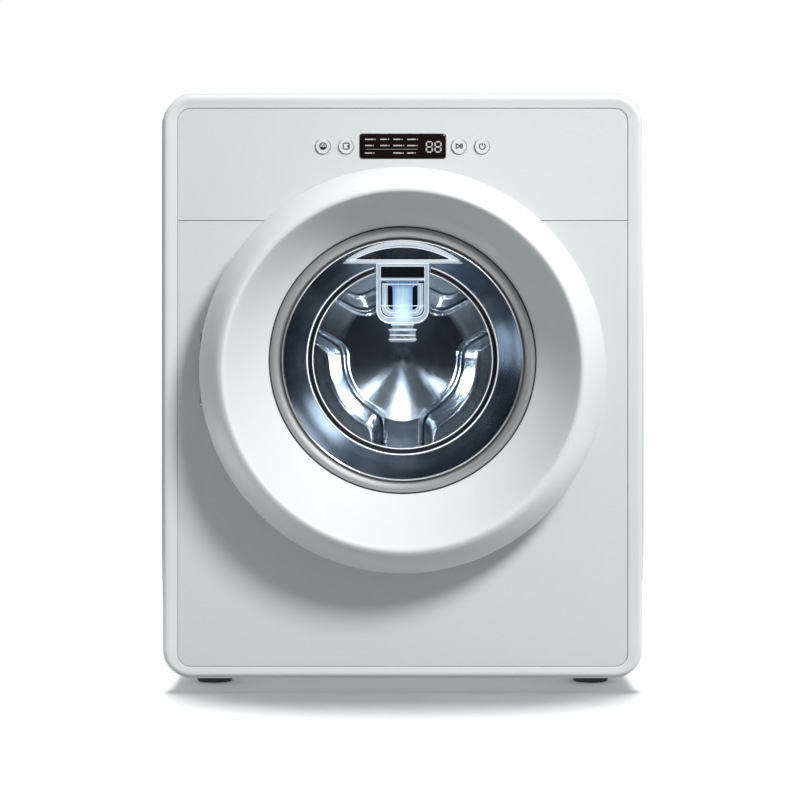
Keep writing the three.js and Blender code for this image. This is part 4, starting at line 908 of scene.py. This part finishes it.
def water_path():
    """Tray, chute and nozzle of clear moulding, with the blue light guide down the middle.
    Their rims end in rounded beads in a glowing white finish, painted highlights; dark tinted
    plates behind the tray and the chute are painted shade."""
    low, high = span("water_tray")
    chord = low[2] - DRUM_Z - 3.8
    outer, inner = d_outline(*ARCH, chord), d_outline(95.6, 10.2, chord + 3.0)
    piece("tray_rim", closed_wall(outer, inner, low[1] + 0.4, high[1] - 2), "door", "clear_plastic",
          "white_clear", ["water_tray"])
    rim = [stroke((outer * 0.55 + inner * 0.45)[:ARCH_STEPS], 3.6, low[1], low[1] + 1.6),
           stroke((outer * 0.45 + inner * 0.55)[ARCH_STEPS:], 2.6, low[1], low[1] + 1.6)]
    rim += [stroke(d_outline(95.1, 10.2, chord + 3.4), 0.7, low[1] + 6, low[1] + 8, True)]
    piece("tray_bead", rim, "door", "clear_plastic", "bright_edge")
    # painted shade: a dark plate inside the tray
    piece("tray_floor", slab(outer * 0.2 + inner * 0.8, high[1] - 6, high[1] - 4), "door",
          "clear_plastic", "smoked_plastic")

    low, high = span("water_chute")
    top, base = high[2] - DRUM_Z - 3, low[2] - DRUM_Z - 3
    outer, inner = u_outline(24.8, top, base, 13), u_outline(20.6, top - 3.2, base + 6, 8)
    deeper = u_outline(19.4, base + 38, base + 7.4, 7)
    heart = u_outline(14.2, base + 36, base + 13, 5)
    shelf = oblong(-20.6, 20.6, DRUM_Z + 73.4, DRUM_Z + 76.4)
    shapes = [closed_wall(outer, inner, low[1], high[1] - 1), slab(shelf, low[1] + 2, high[1] - 4),
              closed_wall(deeper, heart, low[1] + 2.5, high[1] - 5)]
    piece("chute_shell", shapes, "door", "clear_plastic", "white_clear", ["water_chute"])
    near = low[1] - 0.15
    lines = [stroke(u_outline(24.2, top - 0.5, base + 0.6, 12.4), 1.2, near, near + 1, True),
             stroke(u_outline(20.9, top - 3.0, base + 5.8, 8.2), 0.9, near, near + 1, True),
             stroke(u_outline(16.6, base + 37, base + 10.4, 6), 0.7, near + 2.2, near + 3.2, True)]
    level = np.array([[-20.2, DRUM_Z], [0, DRUM_Z], [20.2, DRUM_Z]])
    lines += [stroke(level + (0, base + 16.6), 0.8, near + 1, near + 2),
              stroke(level + (0, 75), 0.9, near + 2, near + 3)]
    piece("chute_beads", lines, "door", "clear_plastic", "bright_edge")
    # painted shade: a dark plate behind the chute
    behind = slab(u_outline(20.8, top - 3, base + 5.8, 8), high[1] - 3.5, high[1] - 2)
    piece("chute_back", behind, "door", "clear_plastic", "smoked_plastic")

    low, high = span("chute_light")
    flare = np.linspace(0, 1, 24)
    top, foot = high[2] - 3, low[2] - 7
    z = top - flare * (top - foot)
    half = 9.3 + 6.2 * (1 - smooth_step(flare, 0, 0.22)) ** 2
    sheet = np.concatenate([np.stack([half, z], -1), np.stack([-half, z], -1)[::-1]])
    guide = closed_wall(sheet, sheet * [0, 1], low[1] + 0.2, high[1] - 0.2, 0.6)
    piece("light_guide", guide, "door", "blue_guide", stands_for=["chute_light"])

    low, high = span("water_nozzle")
    spot, base, top = ((low + high) / 2)[:2], low[2], high[2]
    body = [(9, base), (11.5, base), (13.2, base + 1.6), (13.4, base + 3), (12.2, base + 3.6),
            (12.2, base + 10), (13.2, base + 10.8), (13.2, base + 12.4), (9.6, base + 13),
            (9.6, base + 14.6), (10.8, base + 15.4), (10.8, base + 17), (9.4, base + 17.6),
            (9.4, top), (6.6, top), (6.6, base + 13), (9.4, base + 9)]
    cone = [(0, base + 0.6), (4.2, base + 0.6), (2.2, base + 5), (0, base + 6)]
    piece("nozzle_body", [upright(eased(body, 0.7, 4), spot, 64), upright(cone, spot, 32)], "door",
          "clear_plastic", "nozzle_plastic", ["water_nozzle"])
    hoops = [upright(bead_section(r, base + h, 0.5, 8), spot)
             for r, h in ((13.1, 2.2), (13.1, 11.4), (10.6, 16.2), (12.1, 6.4))]
    piece("nozzle_hoops", hoops, "door", "clear_plastic", "bright_edge")


# --- drum -------------------------------------------------------------------------------


def drum_end():
    """The pressed drum back. Its front is a height over a polar grid: a shallow cone for the
    three-armed star, which turns up along the arms, and three lobes between the arms that rise
    through a bead, a step, a broad bevel and a second bead. How far a point is outside the
    star is the smooth smaller of (radius - hub) and 1.6 (distance from the nearest arm's
    middle line - half width)."""
    hub, half_arm, plane, blur = 55.5, 17.2, 247.2, 15.0
    radius = np.concatenate([np.linspace(0, 30, 12), np.linspace(31.5, 132, 96),
                             np.linspace(135, 172.8, 12)])
    angle = np.arange(432) / 432 * TURN
    r, a = radius[None], angle[:, None]
    flip = np.abs((a % (TURN / 3)) - TURN / 6)
    from_arm = r * np.sin(np.clip(TURN / 6 - flip, 0, TURN / 4))
    out_arm, out_hub = (from_arm - half_arm) * 1.6, r - hub
    mix = np.clip(0.5 + 0.5 * (out_hub - out_arm) / blur, 0, 1)
    outside = out_hub * (1 - mix) + out_arm * mix - blur * mix * (1 - mix)
    rise = (1.3 * smooth_step(outside, -1, 1.2) - 0.5 * smooth_step(outside, 1.6, 3)
            + 4.4 * smooth_step(outside, 3.4, 8.6) + 3.3 * np.clip((outside - 9) / 8, 0, 1)
            + 1.2 * smooth_step(outside, 18.2, 19.8) - 0.6 * smooth_step(outside, 20.2, 22))
    fade = 1 - smooth_step(r, *LOBE_FADE)
    cone = 4.4 * np.clip(1 - r / 66, 0, 1) + 6.4 * np.clip((r - 63) / 42, 0, 1) * fade
    rim = 2.0 * smooth_step(r, 139, 145)
    depth = plane - cone - rise * fade - rim
    x, z = r * np.sin(a + TURN / 2), DRUM_Z + r * np.cos(a + TURN / 2)
    front = np.stack([x, depth, z], -1)
    back = front[:, ::-1] + (0, 1.0, 0)
    piece("drum_end", grid(np.concatenate([front, back], 1), True, True), "drum", "drum_steel",
          stands_for=["drum_back"], crease=50)


def drum_wall():
    """The drum's side: a rolled mouth, two swaged bands and a seamed rear edge; its holes are
    raised rims round small dark plastic discs, painted shade in place of open holes, in staggered
    rows between the lifters."""
    outer, swage, inner = 174.4, 0.8, DRUM_SKIN
    mouth = [(123.5, 47.5), (125, 46.6), (128, 46.6), (166, 50.5), (172, 53), (outer, 58),
             (outer, 70), (outer - swage, 72), (outer - swage, 82), (outer, 84), (outer, 228),
             (outer - swage, 230), (outer - swage, 238), (outer, 240), (outer, 250.4),
             (inner, 250.4), (inner, 240.4), (inner - swage, 238), (inner - swage, 230),
             (inner, 228), (inner, 84), (inner - swage, 82), (inner - swage, 72), (inner, 70),
             (inner, 58.6), (171.2, 54.2), (165.8, 51.7), (128, 48), (125.4, 49.4), (124.2, 49.4)]
    soft = [0.7, 0.7, 0.8, 6, 4, 4] + [1.5] * 8 + [0.3, 0.3] + [1.5] * 8 + [4, 4, 6, 0.8, 0.7, 0.6]
    piece("drum_wall", turned(eased(mouth, soft, 5), (0, DRUM_Z), 168), "drum", "drum_steel",
          "shell_steel", ["drum_shell"])
    rows, columns = np.meshgrid(np.arange(9), np.arange(54), indexing="ij")
    angle = (columns + 0.5 * (rows % 2)).ravel() / 54 * TURN
    depth = (92 + rows * 16.5).ravel()
    from_lifter = np.abs((angle + TURN / 6) % (TURN / 3) - TURN / 6) * 172
    keep = from_lifter > 26
    angle, depth = angle[keep][:, None, None], depth[keep][:, None, None]

    def spots(profile):
        """The profile of (radius, lift) turned about each hole's own line and laid on the
        wall: a point s round the wall from the line stands at angle + s / wall radius."""
        ring = np.arange(8) / 8 * TURN
        out, lift = np.array(profile, float).T
        s, t = out[None, :, None] * np.cos(ring), out[None, :, None] * np.sin(ring)
        high = DRUM_SKIN - lift[None, :, None]
        at = angle + s / DRUM_SKIN
        points = np.stack([high * np.sin(at), depth + t, DRUM_Z + high * np.cos(at)], -1)
        count, rings, sides = points.shape[:3]
        _, quads = grid(points[0])
        shift = np.arange(count)[:, None, None] * rings * sides
        return points.reshape(-1, 3), (np.array(quads)[None] + shift).reshape(-1, 4).tolist()

    rim = [(1.9, 0.0), (2.3, 0.35), (2.9, 0.3), (3.3, 0.0), (2.6, -0.2)]
    # painted shade: a thin dark disc where each hole is
    hole = [(0, 0.1), (2.0, 0.1), (2.0, -0.4), (0, -0.4)]
    piece("drum_hole_rims", spots(rim), "drum", "drum_steel", "shell_steel")
    piece("drum_holes", spots(hole), "drum", "drum_steel", "dark_plastic")


def lifters():
    """Three hollow-looking ribs: a rounded wedge section that swells up from each end."""
    section = eased([(-22, 0), (-19, 3), (-10.5, 24), (-7, 31), (7, 31), (10.5, 24), (19, 3),
                     (22, 0)], [0, 3, 8, 8, 8, 8, 3, 0], 5)
    front_end, length, seat = 74, 162, 170.9
    along = np.linspace(0, 1, 40)
    swell = np.sqrt(np.clip(1 - (2 * along - 1) ** 8, 0, 1))
    wave = 1 - 0.06 * np.cos(along * TURN * 4) * swell
    width = section[None, :, 0] * (0.8 + 0.2 * swell[:, None])
    tall = section[None, :, 1] * (0.02 + 0.98 * swell * wave / 1.06)[:, None]
    for number, turn in enumerate((0, TURN * 2 / 3, TURN / 3), 1):
        depth = front_end + along[:, None] * length + 0 * width
        bulk = seat - tall
        x = width * math.cos(turn) + bulk * math.sin(turn)
        z = DRUM_Z - width * math.sin(turn) + bulk * math.cos(turn)
        points, faces = grid(np.stack([x, depth, z], -1), False, True)
        count = section.shape[0]
        ends = [list(range(count)), list(range(len(points) - count, len(points)))[::-1]]
        piece(f"lifter_rib_{number}", (points, faces + ends), "drum", "inner_plastic",
              stands_for=[f"lifter_{number}"])


def gasket():
    """The bellows between door opening and tub: one wavy wall turned about the drum's line. Its lip
    meets the cabinet and its root the tub; it is attached to no body."""
    outline = [(121.8, 0.4), (123.6, -0.4), (126.6, 0.2), (127.6, 2.6), (131.5, 4.4), (133.4, 8),
               (133.4, 13), (130.4, 16), (127.8, 18.4), (127.8, 22), (131.6, 24.6), (133.3, 28.5),
               (132.8, 33), (129.6, 36.6), (128.2, 40), (128.4, 46), (125.2, 46), (124.8, 39.6),
               (127, 35.4), (129.8, 32), (130, 29.4), (127.6, 27.2), (124.6, 24.6), (124.4, 16.6),
               (127.4, 13.8), (130.2, 11.6), (129.8, 9), (126.6, 7.2), (123.4, 6.4), (122, 3.6)]
    made = piece("bellows_gasket", turned(eased(outline, 1.8, 5), (0, DRUM_Z), 160), None,
                 "grey_rubber", stands_for=["door_gasket"])
    DRUM_Z * MM
    DRUM_Z * MM
    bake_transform(made)


# --- controls ---------------------------------------------------------------------------


def display():
    """Smoked window with two seven-bar figures and rows of plain indicator marks."""
    low, high = span("display_window")
    loop = box_loop([39.6, 39.6, 39.1, 38.2, 38.2, 39.6], [low[2]] * 6, [high[2]] * 6, [2.3] * 6, 8)
    inset = np.array([0, 0, 0.35, 1.2, 1.2, 0])[:, None]
    centre = (low + high)[2] / 2
    loop[..., 1] = centre + (loop[..., 1] - centre) * (1 - inset / 11.4)
    depth = np.array([high[1], low[1] + 0.5, low[1] + 0.08, low[1], low[1], high[1]])
    depth = np.broadcast_to(depth[:, None], loop.shape[:2])
    front = np.stack([loop[..., 0], depth, loop[..., 1]], -1)
    points, faces = grid(front[:4], False, True)
    count = loop.shape[1]
    faces += [list(range(count)), list(range(3 * count, 4 * count))[::-1]]
    piece("display_pane", (points, faces), "cabinet", "display", stands_for=["display_window"])

    near, far = low[1] - 0.06, low[1] + 0.1
    top, marks = high[2], []
    digit_line, mark_line, rule_line = 1.25, 1.1, 0.25

    def bar(x0, z0, x1, z1, width):
        line = np.array([[x0, z0], [(x0 + x1) / 2, (z0 + z1) / 2], [x1, z1]])
        marks.append(stroke(line, width, near, far))

    wide, tall, lean = 5.2, 4.7, 0.7
    for left in (22.0, 30.0):
        base = centre - tall - 0.6
        for level in range(3):
            z = base + level * tall
            bar(left + lean, z, left + wide - lean, z, digit_line)
        for level in range(2):
            for x in (left, left + wide):
                z = base + level * tall
                bar(x, z + lean, x, z + tall - lean, digit_line)
    for row, z in enumerate((top - 5.0, top - 10.7, top - 17.6)):
        for column, x in enumerate((-34.6, -20.6, -8.6, 4.2)):
            if (row, column) == (2, 1):  # this place is empty
                continue
            size = (7.6, 6.0, 6.6, 8.0)[(column + row) % 4]
            bar(x, z, x + size, z, mark_line)
            bar(x + size + 1.0, z, x + size + 1.9, z, mark_line)
    bar(-34, top - 14.1, 14, top - 14.1, rule_line)
    piece("display_marks", marks, "cabinet", "display", "display_mark")


def post(x, low, high):
    """An upright line of (x, z)."""
    return np.array([[x, low], [x, high]])


def icon_heat(x, z):
    """Two rising waves over a dish, in a ring. Each line has its width, and True if closed."""
    sway, rise = 0.35 * np.sin(np.linspace(0, TURN, 12)), np.linspace(z - 0.4, z + 1.7, 12)
    waves = [(np.stack([x + s + sway, rise], -1), 0.6, False) for s in (-0.9, 0.9)]
    return [(arc((x, z), 3.0, 0, 348, 30), 0.8, True), *waves,
            (arc((x, z + 0.6), 2.3, 125, 235, 10), 1.3, False)]


def icon_course(x, z):
    """A rounded square with a tab at its right."""
    frame_line = box_loop([2.7], [z - 2.7], [z + 2.7], [1.0], 6)[0] + (x, 0)
    tip = np.array([[x + 1.2, z - 0.2], [x + 2.6, z - 0.2]])
    return [(frame_line, 0.75, True), (tip, 1.5, False)]


def icon_play(x, z):
    """A wedge and two bars."""
    wedge = eased([(x - 2.7, z + 2.3), (x + 0.9, z), (x - 2.7, z - 2.3)], 0.3, 3)
    bars = [(post(x + s, z - 2.4, z + 2.4), 0.8, False) for s in (1.5, 2.8)]
    return [(wedge, 0.75, True), *bars]


def icon_power(x, z):
    """An open ring with an upright bar in its gap."""
    return [(arc((x, z - 0.2), 2.7, 32, 328, 26), 0.8, False),
            (post(x, z + 0.2, z + 2.9), 0.8, False)]


def buttons():
    """Round caps with a bevelled edge, a drawn icon, and a grey ring in two arcs at left and right,
    painted shade of the gap round the cap.
    """
    bold = 1.3
    cap = eased([(0, 0.06), (5.8, 0.02), (6.5, -0.1), (6.9, 0.0), (7.2, 0.5), (7.2, 4.6),
                 (8.6, 4.6), (8.6, 6.2), (3, 6.4), (3, 10), (0, 10)], [0, 0.6] + [0.3] * 8 + [0])
    for name, icon in zip(BUTTONS, (icon_heat, icon_course, icon_play, icon_power)):
        x, _, z = middle(name)
        piece(name + "_cap", turned(cap, (x, z), 64), name, "button_white", stands_for=[name])
        strokes = [stroke(line, width * bold, -0.02, 0.2, closed)
                   for line, width, closed in icon(x, z)]
        piece(name + "_icon", strokes, name, "button_white", "icon_ink")
        sides = [stroke(arc((x, z), 6.75, a, a + 110, 30), 0.45, -0.13, 0.1) for a in (35, 215)]
        piece(name + "_ring", sides, name, "button_white", "ring_grey")


def soft_links():
    """Springs and the sump hose, which run from the cabinet at one end to the tub at the other;
    they are attached to no body.
    """
    for side in SIDES:
        name = f"suspension_spring_{side}"
        low, high = span(name)
        spot, wire = (low + high) / 2, 1.15
        turn = np.linspace(0, 9 * TURN, 9 * 22)
        height = np.linspace(low[2] + 6, high[2] - 6, len(turn))
        radius = (high[0] - low[0]) / 2 - wire - 0.2
        path = np.stack([spot[0] + radius * np.cos(turn), spot[1] + radius * np.sin(turn),
                         height], -1)
        made = piece(name + "_coil", tube(path, wire, 8), None, "plain_steel", stands_for=[name])
        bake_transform(made)
    low, high = span("sump_hose")
    spot = (low + high)[:2] / 2
    z = np.linspace(low[2], high[2], 61)
    outer = 11.2 + 0.8 * np.cos((z - low[2]) / (high[2] - low[2]) * TURN * 5)
    wall = np.concatenate([np.stack([outer, z], -1), np.stack([outer - 1.8, z], -1)[::-1]])
    made = piece("sump_bellows", upright(wall, spot), None, "black_rubber",
                 stands_for=["sump_hose"])
    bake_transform(made)


def hinge():
    """Slim plate on the cabinet with an ear above and below the door's arm, round the pin."""
    low, high = span("hinge_bracket")
    pin = middle("hinge_pin")
    ears = []
    for base in (low[2] + 2, high[2] - 12):
        ear = [(3.9, base), (4.3, base + 0.5), (4.3, base + 9.5), (3.9, base + 10),
               (3.2, base + 10), (3.2, base)]
        ears.append(upright(eased(ear, 0.3, 3), pin[:2], 32))
        web = oblong(pin[0] - 2.2, pin[0] + 2.2, base + 0.6, base + 9.4)
        ears.append(slab(eased(web, 0.4, 3), pin[1] + 3.4, 0.6))
    plate = box_loop([4.6], [low[2]], [high[2]], [2.2], 6)[0] + (pin[0], 0)
    piece("hinge_plate", ears + [slab(plate, 0.2, 1.3)], "cabinet", "plain_steel",
          stands_for=["hinge_bracket"])


front_bezel()
hinge()
sheet_case("side_wrap", "cabinet_wrap", False)
sheet_case("lid_sheet", "top_cover", True)
rear_screws()
levelling_feet()
door_moulding()
door_inside()
glass_trim()
glass_bowl()
water_path()
drum_end()
drum_wall()
lifters()
gasket()
display()
buttons()
soft_links()

drum_names = ("drum_end", "drum_wall", "drum_hole_rims", "drum_holes",
              "lifter_rib_1", "lifter_rib_2", "lifter_rib_3")
drum_pieces = [bpy.data.objects[name] for name in drum_names]
bowl = [bpy.data.objects["glass_bowl"]]
machine = [obj for obj in bpy.data.objects if obj.type == "MESH" and obj != floor]
lamp("key", (1.35, -2.15, 2.2), (0, -0.1, 0.3), 0.75, 87, (1, 0.995, 0.985), only=machine)
lamp("overhead", (0.1, 0.1, 2.4), (0, -0.05, 0), 1.3, 3, only=machine)
lamp("fill", (-1.5, -2.0, 0.05), (0, -0.1, 0.3), 1.0, 3, (0.97, 0.99, 1), only=machine)
lamp("back_left", (-1.7, 2.3, 1.5), (0, 0.1, 0.3), 1.2, 16, only=machine)
lamp("back_right", (1.9, 1.9, 0.9), (0, 0.1, 0.3), 1.0, 9, only=machine)
lamp("floor_wash", (0, 0.5, 2.3), (0, -0.1, 0), 1.6, 146, only=[floor])


def drum_lamp(name, clock, radius, depth, size, power, toward, colour=(1, 1, 1),
              only=drum_pieces, far=245, beam=180):
    """A small lamp inside the drum's mouth that lights only the drum, or only the bowl; clock
    in degrees from straight up, clockwise. It stands at a radius and depth and looks at
    radius toward at depth far. A narrow beam keeps it off what lies between."""
    across, up = math.sin(math.radians(clock)), math.cos(math.radians(clock))
    place, aim = ((r * MM * across, FACE + d * MM, (DRUM_Z + r * up) * MM)
                  for r, d in ((radius, depth), (toward, far)))
    made = lamp(name, place, aim, size * MM, power, colour, only=only)
    made.data.spread = math.radians(beam)


drum_lamp("drum_foot", 182, *MOUTH, 22, 0.13, 30)
drum_lamp("drum_left", 226, *MOUTH, 14, 0.05, 30)
drum_lamp("drum_right", 128, *MOUTH, 12, 0.04, 30)
for number, clock in enumerate((50, 84, 290)):
    drum_lamp(f"drum_bevel_{number}", clock, *MOUTH, 22, 0.012, -84, (0.9, 0.96, 1), beam=34)
lamp("drum_arms", (0, -1.4, 0.7), (0, 0.04, 0.23), 0.3, 0.075, (0.8, 0.92, 1), only=drum_pieces)
drum_lamp("bowl_low_left", 52, 100, 130, 50, 0.036, -100, (0.92, 0.96, 1), bowl, 15)
drum_lamp("bowl_right", 262, 92, 140, 40, 0.011, -100, (0.8, 0.9, 1), bowl, 15)
